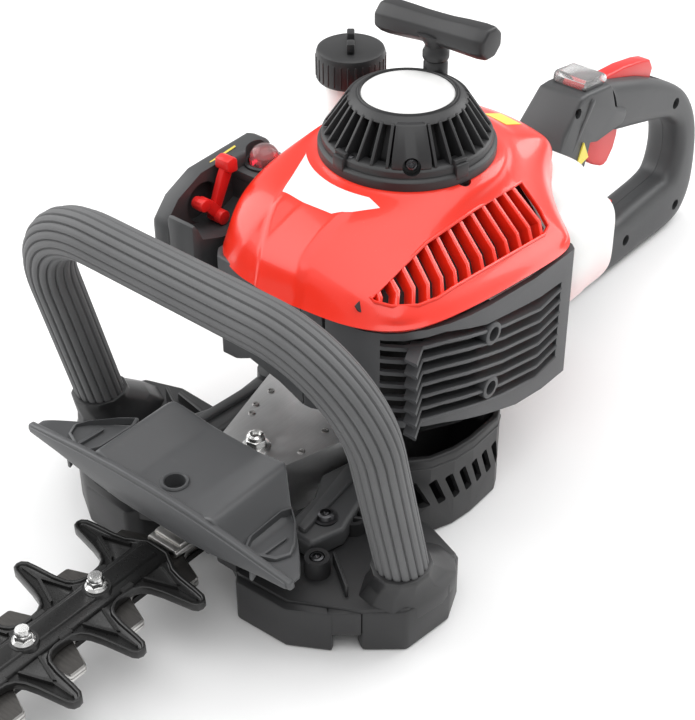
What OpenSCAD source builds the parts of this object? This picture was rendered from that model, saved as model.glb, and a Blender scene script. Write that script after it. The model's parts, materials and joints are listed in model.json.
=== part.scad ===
// Petrol hedge trimmer with a swivelling rear handle.
// +X points along the blades, +Y to the muffler side, +Z up.
// The origin is on the crank axis, in the plane that the machine stands on.

/* [Blades] */
// Number of spike pairs on the comb guard
spike_pairs = 12; // [8:1:14]
// Distance from one spike pair to the next
spike_pitch = 46; // [40:1:50]
// Position of the first spike pair ahead of the crank axis
first_spike_x = 243; // [238:1:250]
// Half width over the spike tips
spike_reach = 52; // [46:1:56]
// Distance from one blade tooth to the next
tooth_pitch = 43; // [40:1:46]
// Half width over the blade teeth
tooth_reach = 32; // [28:1:38]
// Thickness of each steel blade
blade_t = 2.5; // [2:0.1:2.6]
// Travel of each blade either side of the middle
blade_throw = 7; // [6:0.5:7]
// Distance from one blade bolt to the next
bolt_pitch = 53; // [50:1:56]

/* [Engine] */
// Outside radius of the recoil starter's base rim
starter_r = 52; // [50:1:54]
// Crank throw, half of the piston's stroke
crank_throw = 15; // [12:1:15]
// Cylinder bore radius
bore_r = 17; // [16:0.5:17]
// Teeth on the clutch pinion
pinion_teeth = 12; // [12:1:12]
// Teeth on the drive gear
gear_teeth = 48; // [48:1:48]
// Gear module, the pitch diameter over the tooth count
gear_module = 1.5; // [1.5]

/* [Front handle] */
// Half width of the handle loop between leg centres
loop_half = 124; // [118:1:128]
// Height of the loop's top centreline above the base plane
loop_top = 209; // [200:1:214]
// Centreline radius of the loop's corners
loop_r = 62; // [50:1:70]
// Outside radius of the rubber grip
grip_r = 15.5; // [14:0.5:16]
// Forward lean of the loop in degrees
loop_lean = 13.5; // [10:0.5:15]

/* [Rear handle] */
// Where the swivel joint's face stands behind the crank axis
swivel_x = 138; // [138:1:140]
// Height of the swivel axis
swivel_z = 72; // [72:1:74]
// Half width of the rear handle's grip
rear_half = 17; // [16:1:19]

/* [Hidden] */
$fn = 48;

gear_x = gear_module * (pinion_teeth + gear_teeth) / 2;
pinion_r = gear_module * pinion_teeth / 2;
gear_r = gear_module * gear_teeth / 2;
run = 0.05;                      // radial running clearance of a shaft in its bore
gap = 0.3;                       // air between faces of separate moving bodies

bar_z = 27;                      // underside of the guide bar
bar_t = 4;
lower_z = bar_z + bar_t;         // underside of the lower blade
upper_z = lower_z + blade_t + 0.1;
comb_z = upper_z + blade_t + 0.3;
blade_half = 13;
blade_end = first_spike_x + (spike_pairs - 1) * spike_pitch + 26;
bolt_x0 = first_spike_x + 31;
bolt_count = floor((blade_end - 8 - bolt_x0) / bolt_pitch) + 1;
bolt_r = 3;
tooth_x0 = first_spike_x - 25;
tooth_count = floor((blade_end - 16 - tooth_x0) / tooth_pitch) + 1;

case_top = 62;
crank_z = 131;                   // height of the cylinder's axis
pin_x = crank_throw;
rod_len = 42;
head_x = 88;
seat_z = 213;                    // underside of the starter's rim
pull_at = [-35.5, -7];            // where the rope leaves the starter
cap_at = [-40, -78];
choke_at = [88, -76, 170];
primer_at = [48, -73, 190];
trigger_at = [-210, 0, 139];
lockout_at = [-214, 0, 156];
switch_at = [-190, 0, 172];
lock_at = [-219, 0, 47];

// ---------- shared shapes ----------

// Box between two corners with its upright edges chamfered by c
module cbox(lo, hi, c = 4) {
    w = hi[0] - lo[0];
    d = hi[1] - lo[1];
    translate(lo) linear_extrude(hi[2] - lo[2])
        polygon([[c, 0], [w - c, 0], [w, c], [w, d - c], [w - c, d], [c, d], [0, d - c], [0, c]]);
}

module block(lo, hi) translate(lo) cube(hi - lo);

// Cylinder along X from x0 to x1 through (y, z)
module xrod(x0, x1, y, z, r) translate([x0, y, z]) rotate([0, 90, 0]) cylinder(h = x1 - x0, r = r);

// Cylinder along Y from y0 to y1 through (x, z)
module yrod(y0, y1, x, z, r) translate([x, y1, z]) rotate([90, 0, 0]) cylinder(h = y1 - y0, r = r);

module zrod(z0, z1, x, y, r) translate([x, y, z0]) cylinder(h = z1 - z0, r = r);

// Plate with a side profile in X and Z, from y0 to y1
module side_plate(points, y0, y1)
    translate([0, y1, 0]) rotate([90, 0, 0]) linear_extrude(y1 - y0) polygon(points);

// Plate with a front profile in Y and Z, from x0 to x1
module front_plate(points, x0, x1)
    translate([x0, 0, 0]) rotate([90, 0, 90]) linear_extrude(x1 - x0) polygon(points);

function tooth_outline(teeth, pitch_r, turn) = [
    for (i = [0:teeth - 1], k = [0:3])
        let (step = 360 / teeth,
             side = [-0.25, -0.10, 0.10, 0.25][k] * step,
             r = pitch_r + [-1.3, 0.85, 0.85, -1.3][k] * gear_module,
             a = turn + i * step + side)
        [r * cos(a), r * sin(a)]];

// Round-headed screw pointing down, head underside at p
module screw_down(p, head_r, shank, r) {
    zrod(p[2], p[2] + head_r * 0.7, p[0], p[1], head_r);
    zrod(p[2] - shank, p[2], p[0], p[1], r);
}

// ---------- gear case and drive ----------

case_outline = [[-52, -30], [-40, -46], [72, -46], [100, -38], [172, -17], [172, 17], [100, 38],
    [72, 46], [-40, 46], [-52, 30]];
case_inner = [[-48, -28], [-38, -42], [71, -42], [98, -34], [167, -14], [167, 14], [98, 34],
    [71, 42], [-38, 42], [-48, 28]];
case_bolts = [[-30, -36], [-30, 36], [82, -34], [82, 34], [142, -18], [142, 18]];

module gear_case() color("silver") difference() {
    union() {
        difference() {
            translate([0, 0, 16]) linear_extrude(case_top - 16) polygon(case_outline);
            translate([0, 0, 15]) linear_extrude(case_top - 4 - 15) polygon(case_inner);
        }
        for (p = case_bolts) zrod(16, case_top - 3, p[0], p[1], 5);
        zrod(53, case_top - 2, gear_x, 0, 10);
        zrod(53, case_top - 2, 0, 0, 17);
    }
    zrod(45, case_top + 1, gear_x, 0, 5);
    zrod(45, case_top + 1, 0, 0, 13);
    for (p = case_bolts) zrod(10, 40, p[0], p[1], 1.6);
    block([160, -14, bar_z], [180, 14, comb_z + 0.5]);
}

module gear_cover() color("dimgray") difference() {
    union() {
        translate([0, 0, 12]) linear_extrude(4) polygon(case_outline);
        zrod(15, 24, 0, 0, 17);
        zrod(15, 24, gear_x, 0, 9);
        zrod(0, 12, 0, 0, 14);   // foot under the crank axis
    }
    zrod(11, 30, gear_x, 0, 5);
    zrod(17, 30, 0, 0, 13);
    for (p = case_bolts) zrod(10, 20, p[0], p[1], 2.1);
}

module gear_axle() color("lightsteelblue") zrod(12, case_top, gear_x, 0, 5);

module gear_bearings() color("gainsboro") for (z = [17, 54]) difference() {
    zrod(z, z + 7, 0, 0, 13);
    zrod(z - 1, z + 8, 0, 0, 6 + run);
}

module drive_gear() color("slategray") difference() {
    translate([gear_x, 0, 44]) linear_extrude(8)
        polygon(tooth_outline(gear_teeth, gear_r, 0));
    zrod(40, 60, gear_x, 0, 5 + run);
    for (a = [30:60:330]) zrod(40, 60, gear_x + 22 * cos(a), 22 * sin(a), 6);
}

module blade_eccentrics() color("lightslategray") difference() {
    union() {
        zrod(25, 44, gear_x, 0, 9);
        zrod(upper_z, upper_z + blade_t, gear_x, blade_throw, 12);
        zrod(lower_z, lower_z + blade_t, gear_x, -blade_throw, 12);
    }
    zrod(20, 50, gear_x, 0, 5 + run);
}

module drive_pinion() color("slategray") {
    zrod(18, 66, 0, 0, 6);
    translate([0, 0, 44]) linear_extrude(8)
        polygon(tooth_outline(pinion_teeth, pinion_r, 180 / pinion_teeth));
}

module clutch_drum() color("dimgray") difference() {
    zrod(66, 92, 0, 0, 38);
    zrod(69, 93, 0, 0, 35.5);
    for (a = [0:60:300]) zrod(60, 70, 22 * cos(a), 22 * sin(a), 5);
}

module clutch_shoes() color("darkgray") difference() {
    zrod(73, 88, 0, 0, 34.8);
    zrod(70, 90, 0, 0, 6);
    block([-40, -3, 70], [-8, 3, 90]);
    block([8, -3, 70], [40, 3, 90]);
    for (a = [90, 270]) zrod(70, 90, 20 * cos(a), 20 * sin(a), 5);
}

module clutch_housing() color("darkgray") difference() {
    zrod(case_top, 96, 0, 0, 48);
    zrod(case_top - 1, 97, 0, 0, 42);
}

// ---------- engine ----------

module crankcase() color("silver") difference() {
    union() {
        zrod(96, 166, 0, 0, 38);
        zrod(96, 100, 0, 0, 48);
        block([20, -26, crank_z - 26], [40, 26, crank_z + 26]);
    }
    zrod(106, 156, 0, 0, 27);
    zrod(95, 170, 0, 0, 16);
    xrod(15, 45, 0, crank_z, bore_r);
}

module crank_bearings() color("gainsboro") for (z = [97, 157]) difference() {
    zrod(z, z + 8, 0, 0, 16);
    zrod(z - 1, z + 9, 0, 0, 8 + run);
}

module crankshaft() color("gray") {
    zrod(71, 92, 0, 0, 6);
    zrod(92, 112, 0, 0, 8);
    for (z = [112, 140]) zrod(z, z + 10, 0, 0, 24);
    zrod(122, 140, pin_x, 0, 5);
    zrod(150, 167, 0, 0, 8);
    zrod(167, 197, 0, 0, 6);
}

// Shank and small end; it starts outside the circle that the crank pin sweeps
module connecting_rod() color("lightgray") difference() {
    union() {
        zrod(126, 136, pin_x + rod_len, 0, 7);
        block([pin_x + 5.5, -4, 127], [pin_x + rod_len - 4, 4, 135]);
    }
    zrod(120, 140, pin_x + rod_len, 0, 4);
}

module piston() color("lightgray") {
    difference() {
        xrod(44, 74, 0, crank_z, bore_r - run);
        xrod(43, 68, 0, crank_z, bore_r - 3);
    }
    zrod(crank_z - 14.2, crank_z + 14.2, pin_x + rod_len, 0, 4);
}

module cylinder_block() {
    xrod(40, head_x, 0, crank_z, bore_r + 4);
    for (x = [40:6:head_x - 4]) block([x, -31, crank_z - 30], [x + 2, 31, crank_z + 30]);
}

module cylinder_bore() {
    xrod(39, 76, 0, crank_z, bore_r);
    xrod(70, head_x + 1, 0, crank_z, 5);
}

module cylinder_part() color("lightgray") difference() {
    cylinder_block();
    cylinder_bore();
}

module spark_plug() color("whitesmoke") {
    xrod(78, head_x, 0, crank_z, 5);
    translate([head_x, 0, crank_z]) rotate([0, 90, 0]) cylinder(h = 8, r = 9, $fn = 6);
    xrod(head_x + 8, 108, 0, crank_z, 6);
}

module flywheel() color("gray") difference() {
    union() {
        zrod(169, 181, 0, 0, 42);
        for (a = [0:30:330]) rotate(a) block([26, -1.5, 181], [41, 1.5, 193]);
    }
    zrod(160, 200, 0, 0, 6);
}

module ignition_coil() color("darkslategray") {
    cbox([-64, -14, 169], [-46, 14, 190], 3);
    block([-46, -10, 171], [-42.6, 10, 179]);
}

module muffler() color("dimgray") difference() {
    union() {
        cbox([24, 36, 94], [98, 84, 156], 8);
        block([48, 31, 115], [78, 36, 147]);
    }
    yrod(30, 60, 63, crank_z, 8);
    cbox([27, 40, 97], [95, 81, 153], 6);
}

// Plan of the cowl round the muffler, from the front corner to the rear edge
cowl_plan = [[118.6, 36], [119.5, 50], [117, 64], [112, 74], [104.5, 82.5], [92, 89.5], [78, 94],
    [62, 96.7], [45, 97.8], [-42, 97.8], [-46, 93], [-46, 84], [-42, 90], [-40, 94.2], [44, 94.2],
    [61, 93], [77, 90.4], [90, 86.3], [102, 80], [109, 72.2], [113.4, 63], [115.8, 49.6], [114.8, 36]];
// Side view of the uppermost slat, from the front end round to the kinked rear end
slat_line = [[113, 153.5], [95, 150.8], [80, 149.2], [55, 142.4], [30, 134.6], [-8, 126], [-30, 129.4]];
slat_pitch = 8.7;
tube_z = [96, 135.5];

// Air between two slats, from drop a to drop b below the uppermost slat's line
module slat_gap(a, b) side_plate(concat([for (p = slat_line) p - [0, a]],
    [for (i = [len(slat_line) - 1:-1:0]) slat_line[i] - [0, b]]), 70, 110);

module muffler_cover() color("dimgray") difference() {
    union() {
        difference() {
            translate([0, 0, 54]) linear_extrude(112) polygon(cowl_plan);
            // the upper edge falls towards the rear, the lower one rises towards the front
            side_plate([[-50, 152.5], [0, 152.5], [100, 163.5], [130, 163.5], [130, 170], [-50, 170]],
                30, 110);
            side_plate([[-50, 50], [130, 50], [130, 102], [103, 96], [79, 90.5], [28, 70.7], [11, 64.5],
                [-17, 60], [-50, 60]], 30, 110);
            side_plate([[113, 154.8], [95, 152.1], [80, 150.5], [55, 143.7], [30, 135.9], [-8, 127.3],
                [-30, 130.7], [-30, 134.5], [-8, 135.2], [8, 137.8], [47, 145.2], [80, 156.5], [113, 159]],
                70, 110);
            for (i = [0:5]) slat_gap(1.3 + slat_pitch * i, slat_pitch * (i + 1) - 1.3);
        }
        for (z = tube_z) yrod(87, 99, 41, z, 6.6);
    }
    for (z = tube_z) yrod(80, 101, 41, z, 4);
}

module carburettor() color("silver") {
    difference() {
        cbox([46, -61, 114], [76, -36, 148], 3);
        yrod(-62, -30, 61, crank_z, 8);
    }
    difference() {
        block([48, -36, 117], [74, -31, 145]);
        yrod(-40, -30, 61, crank_z, 8);
    }
}

module air_filter() color("khaki") cbox([44, -90, 134], [112, -72, 158], 3);

module air_box() color("dimgray") difference() {
    union() {
        cbox([34, -97, 128], [124, -61, 184], 7);
        cbox([34, -97, 184], [124, -84, 198], 6);
        block([34, -84, 184], [62, -62, 190]);
    }
    cbox([38, -93, 132], [120, -65, 162], 5);
    block([65, -82, 165.5], [116, -50, 200]);
    zrod(185.5, 200, primer_at[0], primer_at[1], 10);
}

module choke_lever() color("red") {
    yrod(-81, -70, choke_at[0], choke_at[2], 3.5);
    side_plate([[84, 172], [70, 196], [73, 204], [79, 205], [78, 197], [92, 174]], -80, -71);
    side_plate([[86, 166.6], [91, 167], [99, 178], [104, 180], [103, 186], [95, 186], [88, 174]],
        -80, -71);
}

module primer_bulb() color("mistyrose")
    translate(primer_at) rotate_extrude() polygon([
        for (a = [0:15:90]) [9.5 * cos(a), 2 + 10 * sin(a)], [0, 0], [9.5, 0]]);

// Hollow red cowl, made as two hulls one inside the other
module cowl_mass(inset, drop) hull() {
    zrod(196, 206 - inset, 0, 0, 60 - inset);
    block([-104 + inset, -40, 168 - drop], [-60, 44 - inset, 188 - inset]);
    block([-45 + inset, 60, 153 - drop], [0, 95 - inset, 157 - inset]);
    block([60, 50, 166 - drop], [112 - inset, 88 - inset, 172 - inset]);
    block([100, -40, 165 - drop], [126 - inset, 58, 177 - inset]);
    block([20, -58 + inset, 166 - drop], [100, 0, 202 - inset]);
    block([-60, -58 + inset, 168 - drop], [0, 0, 200 - inset]);
}

module engine_cover() color("orangered") difference() {
    union() {
        difference() {
            cowl_mass(0, 0);
            cowl_mass(3, 30);
        }
        difference() {
            zrod(198, seat_z - 0.1, 0, 0, 56);
            zrod(190, 220, 0, 0, 46);
        }
    }
    zrod(180, 220, 0, 0, 46);
    // slanted vent slots in the muffler side
    for (i = [0:10]) translate([95 - 11 * i, 84, 176]) rotate([-48, 0, 22])
        block([-3, -30, -20], [3, 6, 14]);
}

module lower_cowl() color("dimgray") difference() {
    cbox([80, -50, 92], [120, 35, 163.5], 8);
    cbox([70, -46, 80], [115, 45, 170], 6);
    xrod(105, 130, 0, crank_z, 8);
}

module lower_shroud() color("dimgray") difference() {
    linear_extrude(62)
        polygon([[10, 47], [10, 86], [22, 95], [50, 95], [84, 86], [99, 66], [99, 39.2], [72, 47]]);
    translate([0, 0, 5]) linear_extrude(53)
        polygon([[14, 50], [14, 84], [24, 91], [50, 91], [82, 82], [95, 64], [95, 43.5], [73, 50]]);
    for (i = [0:6]) translate([24 + 11 * i, 80, 30]) rotate([0, 18, 0])
        block([-2.5, -20, -11], [2.5, 30, 11]);
}

// ---------- recoil starter ----------

module starter_housing() color("dimgray") difference() {
    union() {
        rotate_extrude() polygon([[0, 199], [5, 199], [5, 236], [27, 236], [45, 222], [48, seat_z],
            [starter_r, seat_z], [starter_r, 219], [36, 240], [33, 243], [0, 243]]);
        zrod(228, 249, pull_at[0], pull_at[1], 7.5);
        for (a = [55, -18]) rotate(a) block([44, -6, seat_z], [starter_r + 1.5, 6, 218]);
    }
    zrod(222, 250, pull_at[0], pull_at[1], 3);
    zrod(241.5, 250, 0, 0, 28.1);
    for (a = [0:11:77]) for (s = [0, 110]) rotate(a + s - 52)
        translate([0, -1.9, 0]) side_plate([[44, 219.5], [54, 219.5], [38, 241], [34, 238]], -1.9, 1.9);
}

module starter_badge() color("white") zrod(241.5, 243.6, 0, 0, 28);

module starter_pulley() color("gainsboro") difference() {
    rotate_extrude() polygon([[5 + run, 201], [29, 201], [29, 203], [25, 204.5], [25, 207.5], [29, 209],
        [29, 211], [5 + run, 211]]);
    for (a = [0:60:300]) zrod(195, 220, 17 * cos(a), 17 * sin(a), 4);
}

module recoil_spring() color("steelblue") difference() {
    zrod(213, 221, 0, 0, 24);
    zrod(210, 225, 0, 0, 5 + run);
    for (r = [9:4:21]) difference() {
        zrod(211, 219.5, 0, 0, r + 1.4);
        zrod(210, 223, 0, 0, r - 1.4);
    }
}

module starter_rope() color("ivory") zrod(212, 258, pull_at[0], pull_at[1], 2);

module starter_grip() color("dimgray") difference() {
    union() {
        zrod(249.2, 255, pull_at[0], pull_at[1], 8);
        zrod(255, 262, pull_at[0], pull_at[1], 7);
        translate([pull_at[0], pull_at[1] - 41, 268.5]) rotate([-90, 0, 0]) rotate(22.5)
            cylinder(h = 82, r = 11, $fn = 8);
    }
    zrod(240, 260, pull_at[0], pull_at[1], 2.3);
}

// ---------- fuel ----------

module fuel_tank() color("snow") difference() {
    union() {
        cbox([-130, -66, 60], [-64, 66, 80], 18);
        cbox([-130, -68, 78], [-64, 80, 140], 20);
        cbox([-126, -64, 138], [-66, 64, 163], 20);
        cbox([-66, -96, 84], [-20, -60, 150], 10);
        cbox([-90, -90, 84], [-60, -56, 140], 10);
        zrod(148, 214, cap_at[0], cap_at[1], 17);
    }
    cbox([-127, -63, 63], [-67, 63, 82], 16);
    cbox([-127, -65, 81], [-67, 77, 137], 18);
    cbox([-123, -61, 136], [-69, 61, 160], 18);
    cbox([-63, -93, 87], [-23, -63, 147], 8);
    cbox([-86, -87, 87], [-57, -60, 137], 8);
    zrod(140, 215, cap_at[0], cap_at[1], 14);
}

module fuel_cap() color("dimgray") difference() {
    union() {
        zrod(212, 233, cap_at[0], cap_at[1], 22.5);
        translate([cap_at[0], cap_at[1], 0]) rotate(40) for (s = [-1, 1])
            block([s * 8 - 4, -2.5, 233], [s * 8 + 4, 2.5, 240]);
    }
    zrod(211, 229, cap_at[0], cap_at[1], 17.3);
}

// ---------- rear handle ----------

module handle_mount() color("dimgray") {
    block([-134, -19, 18], [-52, 19, 54]);
    xrod(-swivel_x, -132, 0, swivel_z, 44);
    xrod(-152, -swivel_x, 0, swivel_z, 14);
}

module handle_bore() xrod(-153, -100, 0, swivel_z, 14 + run);

// The housing leans forward over the finger gap; its rear seam has an index tab
module switch_housing() color("dimgray") difference() {
    side_plate([[-swivel_x - gap, 54.2], [-swivel_x - gap, 140], [-146, 156], [-167, 176], [-176, 176],
        [-206, 172], [-212, 152], [-226, 146], [-227, 141], [-222, 135], [-190, 134], [-181, 137],
        [-176, 120], [-190, 92], [-207.8, 54.2]], -20, 20);
    handle_bore();
    // seats for the switch, the trigger and the lockout lever
    block([-200, -8.3, 160], [-178, 8.3, 180]);
    side_plate([[-190, 100], [-190, 147], [-229, 147], [-229, 100]], -6, 6);
    side_plate([[-202, 144.5], [-202, 190], [-230, 190], [-230, 144.5]], -6, 6);
    yrod(-30, 30, -168, 160, 3);
}

// Side view of a grip half: lower arm, rear bend and upper arm round the open finger gap
loop_side = [[-swivel_x - gap, 30], [-150, 8], [-166, 0], [-322, 0], [-340, 8], [-349, 30], [-347, 66],
    [-339, 94], [-323, 118], [-300, 134], [-262, 153], [-206.3, 172.4], [-212.3, 152.3],
    [-226.4, 146.3], [-227.4, 141], [-222.3, 134.7], [-222, 125.5], [-275, 111], [-302, 103],
    [-316, 90], [-320, 66], [-312, 48], [-236, 43], [-208, 54], [-swivel_x - gap, 54]];
shell_screws = [[-302, 117], [-322, 20], [-250, 22], [-188, 26]];

module handle_shell(side) color("dimgray") difference() {
    side_plate(loop_side, min(0, side * rear_half), max(0, side * rear_half));
    handle_bore();
    // trigger, lever and lock wells
    side_plate([[-200, 80], [-200, 142], [-250, 138], [-250, 80]], -6, 6);
    side_plate([[-205, 144], [-290, 124], [-300, 140], [-296, 170], [-205, 180]], -6, 6);
    side_plate([[-211, 39], [-211, 80], [-232, 80], [-232, 39]], -5, 5);
    for (p = shell_screws) yrod(-30, 30, p[0], p[1], 2);
}

module throttle_trigger() color("red") difference() {
    side_plate([[-200, 132], [-202, 143], [-216, 144], [-222, 138], [-240, 124], [-239, 114],
        [-236, 105], [-229, 96.5], [-221, 96], [-200, 109], [-194, 120]], -5.6, 5.6);
    yrod(-10, 10, trigger_at[0], trigger_at[2], 2 + run);
}

module lockout_lever() color("red") difference() {
    side_plate([[-209, 152], [-209, 163], [-214, 170], [-264, 163.5], [-276, 160], [-281, 152],
        [-278, 141], [-262, 141], [-222, 151]], -5.6, 5.6);
    yrod(-10, 10, lockout_at[0], lockout_at[2], 2 + run);
}

module stop_switch() color("red") {
    side_plate([[-198, 175], [-190, 173.4], [-182, 177], [-182, 168], [-198, 168]], -7.6, 7.6);
    yrod(-7.6, 7.6, switch_at[0], 168, 4);
}

module switch_cover() color("white", 0.4) difference() {
    side_plate([[-206, 172.2], [-176, 176.2], [-176, 184], [-202, 181]], -13, 13);
    side_plate([[-210, 160], [-178, 160], [-178, 182], [-202, 179]], -11, 11);
}

module swivel_lock() color("red") difference() {
    side_plate([[-213, 44], [-213, 54], [-220, 64], [-234, 61], [-245, 56], [-243, 51.5], [-230, 51],
        [-226, 44], [-220, 42]], -4.6, 4.6);
    yrod(-10, 10, lock_at[0], lock_at[2], 1.5 + run);
}

// Cross screws and pivot pins of the rear handle
module handle_screws() color("silver") {
    for (p = shell_screws) yrod(-rear_half, rear_half - 4, p[0], p[1], 2);
    yrod(-5.9, 5.9, trigger_at[0], trigger_at[2], 2);
    yrod(-5.9, 5.9, lockout_at[0], lockout_at[2], 2);
    yrod(-4.9, 4.9, lock_at[0], lock_at[2], 1.5);
}

// ---------- front frame ----------

module base_bracket() color("dimgray") {
    for (s = [-1, 1]) scale([1, s, 1]) difference() {
        union() {
            // wing with its turned-down feet
            translate([0, 0, 22]) linear_extrude(10) polygon([[112, 50], [106, 108], [112, 132],
                [134, 140], [166, 136], [186, 112], [204, 78], [204, 40], [172, 26], [136, 36]]);
            linear_extrude(22) polygon([[108, 112], [112, 132], [134, 140], [166, 136], [182, 116],
                [176, 104], [160, 128], [134, 132], [118, 126]]);
            linear_extrude(22) polygon([[170, 96], [184, 112], [204, 82], [206, 44], [180, 40],
                [180, 76]]);
            // collar for the handle leg
            translate([0, 0, 32]) linear_extrude(14) polygon([[122, 112], [126, 134], [146, 140],
                [164, 136], [172, 122], [164, 108], [140, 102]]);
            block([174, 24, 32], [200, 40, 50]);
            block([174, 0, 50], [200, 40, 60]);
        }
        handle_leg_bore();
        zrod(40, 70, 188, 30, 2.2);
        zrod(15, 40, 150, 62, 2.2);
    }
}

module place_loop() translate([146, 0, 10]) rotate([0, loop_lean, 0]) children();

loop_rise = (loop_top - 10) / cos(loop_lean);

// Tube of radius r along the loop, its feet starting at height start
module loop_tube(r, start) place_loop() {
    for (s = [-1, 1]) {
        zrod(start, loop_rise - loop_r, 0, s * loop_half, r);
        translate([0, s * (loop_half - loop_r), loop_rise - loop_r]) rotate([0, -90, 0])
            rotate(s > 0 ? 0 : -90) rotate_extrude(angle = 90) translate([loop_r, 0]) circle(r);
    }
    translate([0, loop_half - loop_r, loop_rise]) rotate([90, 0, 0])
        cylinder(h = 2 * (loop_half - loop_r), r = r);
}

module handle_leg_bore() place_loop() zrod(12, 80, 0, loop_half, 10.02);

module front_handle() color("dimgray") loop_tube(10, 12);

module front_grip() color("gray") difference() {
    loop_tube(grip_r, 42);
    loop_tube(10, 41);
}

// Section of the hand guard: channel, ramps and wings
guard_top = [[-104, 70], [-62, 70], [-46, 88], [-20, 79], [20, 79], [46, 88], [62, 70], [104, 70]];

module front_guard() color("gray") difference() {
    union() {
        difference() {
            front_plate(concat(guard_top, [for (i = [7:-1:0]) guard_top[i] - [0, 4]]), 164, 226);
            // rear corners cut back
            for (s = [-1, 1]) translate([0, 0, 50]) linear_extrude(60) polygon([[160, s * 62],
                [186, s * 62], [206, s * 90], [222, s * 110], [150, s * 110], [150, s * 62]]);
        }
        front_plate([[-106, 72], [-104, 78], [-60, 85], [0, 88], [60, 85], [104, 78], [106, 72],
            [60, 64], [30, 60], [-30, 60], [-60, 64]], 226, 231);
        for (s = [-1, 1]) block([176, s * 38 - 2, 60], [198, s * 38 + 2, 83]);
    }
    zrod(50, 100, 209, 0, 6);
}

// Arms from the bracket back along the gear case; the right one runs on under the carburettor
module side_arms() color("dimgray") for (s = [-1, 1]) difference() {
    translate([0, 0, 32.2]) linear_extrude(16) polygon(concat(
        s < 0 ? [[78, -46.4], [62, -46.4], [62, -60], [100, -62]] : [[100, 58]],
        [[148, s * 74], [172, s * 70], [172, s * 48], [140, s * 44], [122, s * 32], [100, s * 38.4]]));
    zrod(20, 60, 150, s * 62, 2.2);
}

module frame_screws() color("darkgray") {
    for (s = [-1, 1]) {
        screw_down([188, s * 30, 60], 4, 9, 2.2);
        screw_down([150, s * 62, 48.2], 4.5, 16, 2.2);
    }
    for (p = case_bolts) {
        zrod(8, 12, p[0], p[1], 3.6);
        zrod(12, 30, p[0], p[1], 1.6);
    }
    translate([142, 0, case_top]) cylinder(h = 5, r = 6, $fn = 6);
    zrod(case_top + 5, case_top + 9, 142, 0, 2.8);
}

// ---------- blades ----------

// Outline of a toothed blade: a straight back bone with slanted teeth on both sides
function blade_side(s) = [for (i = [0:tooth_count - 1], k = [0:3])
    let (x = tooth_x0 + i * tooth_pitch)
    [x + [0, 9, 18, 27][k], s * [blade_half - 2, tooth_reach, tooth_reach, blade_half - 2][k]]];

// Long round-ended shape that an eccentric sweeps while its blade slides
module blade_window(z0, z1, r) {
    for (d = [-1, 1]) zrod(z0, z1, gear_x + d * blade_throw, 0, r);
    block([gear_x - blade_throw, -r, z0], [gear_x + blade_throw, r, z1]);
}

module blade_plate(z) translate([0, 0, z]) difference() {
    union() {
        linear_extrude(blade_t) polygon(concat([[70, 10.5], [60, 10.5], [60, -10.5], [70, -10.5],
            [200, -10.5]],
            blade_side(-1), [[blade_end - 8, -11], [blade_end, -4], [blade_end, 4],
            [blade_end - 8, 11]], [for (i = [4 * tooth_count - 1:-1:0]) blade_side(1)[i]],
            [[200, 10.5]]));
        blade_window(0, blade_t, 23);
    }
    blade_window(-1, blade_t + 1, 12 + blade_throw + 0.5);
    for (i = [0:bolt_count - 1]) let (x = bolt_x0 + i * bolt_pitch) {
        block([x - blade_throw - 1, -bolt_r - 0.6, -1], [x + blade_throw + 1, bolt_r + 0.6, blade_t + 1]);
        for (d = [-1, 1]) zrod(-1, blade_t + 1, x + d * (blade_throw + 1), 0, bolt_r + 0.6);
    }
}

module lower_blade() color("darkgray") blade_plate(lower_z);

module upper_blade() color("silver") blade_plate(upper_z);

module bolt_row(z0, z1, r) for (i = [0:bolt_count - 1]) zrod(z0, z1, bolt_x0 + i * bolt_pitch, 0, r);

module guide_bar() color("dimgray") difference() {
    block([80, -12, bar_z], [blade_end - 4, 12, lower_z - 0.05]);
    bolt_row(20, 40, bolt_r);
}

module blade_bolts() color("silver") {
    bolt_row(bar_z - 3, bar_z, 5);
    bolt_row(bar_z, comb_z + 18, bolt_r);
}

module blade_nuts() color("silver") for (i = [0:bolt_count - 1])
    translate([bolt_x0 + i * bolt_pitch, 0, comb_z + 9]) difference() {
        union() {
            cylinder(h = 1.6, r = 6.2);
            cylinder(h = 6.5, r = 4.8, $fn = 6);
            cylinder(h = 8, r = 4);
        }
        translate([0, 0, -1]) cylinder(h = 20, r = bolt_r);
    }

// One spike pair's half outline: root, tip, and the round valley up to the next root
function comb_side(s) = [for (i = [0:spike_pairs - 1], k = [0:5])
    let (x = first_spike_x + i * spike_pitch)
    [x + [-12, -5, 1, 5, 9, 17][k],
     s * [16, spike_reach - 2, spike_reach, spike_reach - 4, 19, 14][k]]];

module comb_guard() color("dimgray") difference() {
    union() {
        translate([0, 0, comb_z]) linear_extrude(6) polygon(concat([[229, 13], [225, 8], [225, -8],
            [229, -13]], comb_side(-1), [[blade_end, -14], [blade_end + 8, -6], [blade_end + 8, 6],
            [blade_end, 14]], [for (i = [6 * spike_pairs - 1:-1:0]) comb_side(1)[i]]));
        block([230, -9, comb_z + 6], [blade_end + 4, 9, comb_z + 9]);
    }
    bolt_row(30, 60, bolt_r);
}

// Stepped steel clamp that holds the bar and blades where they leave the gear case
module root_clamp() color("gainsboro") {
    block([173, -12, comb_z], [224, 12, comb_z + 5]);
    block([198, -9, comb_z + 5], [220, 9, comb_z + 9]);
}

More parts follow.
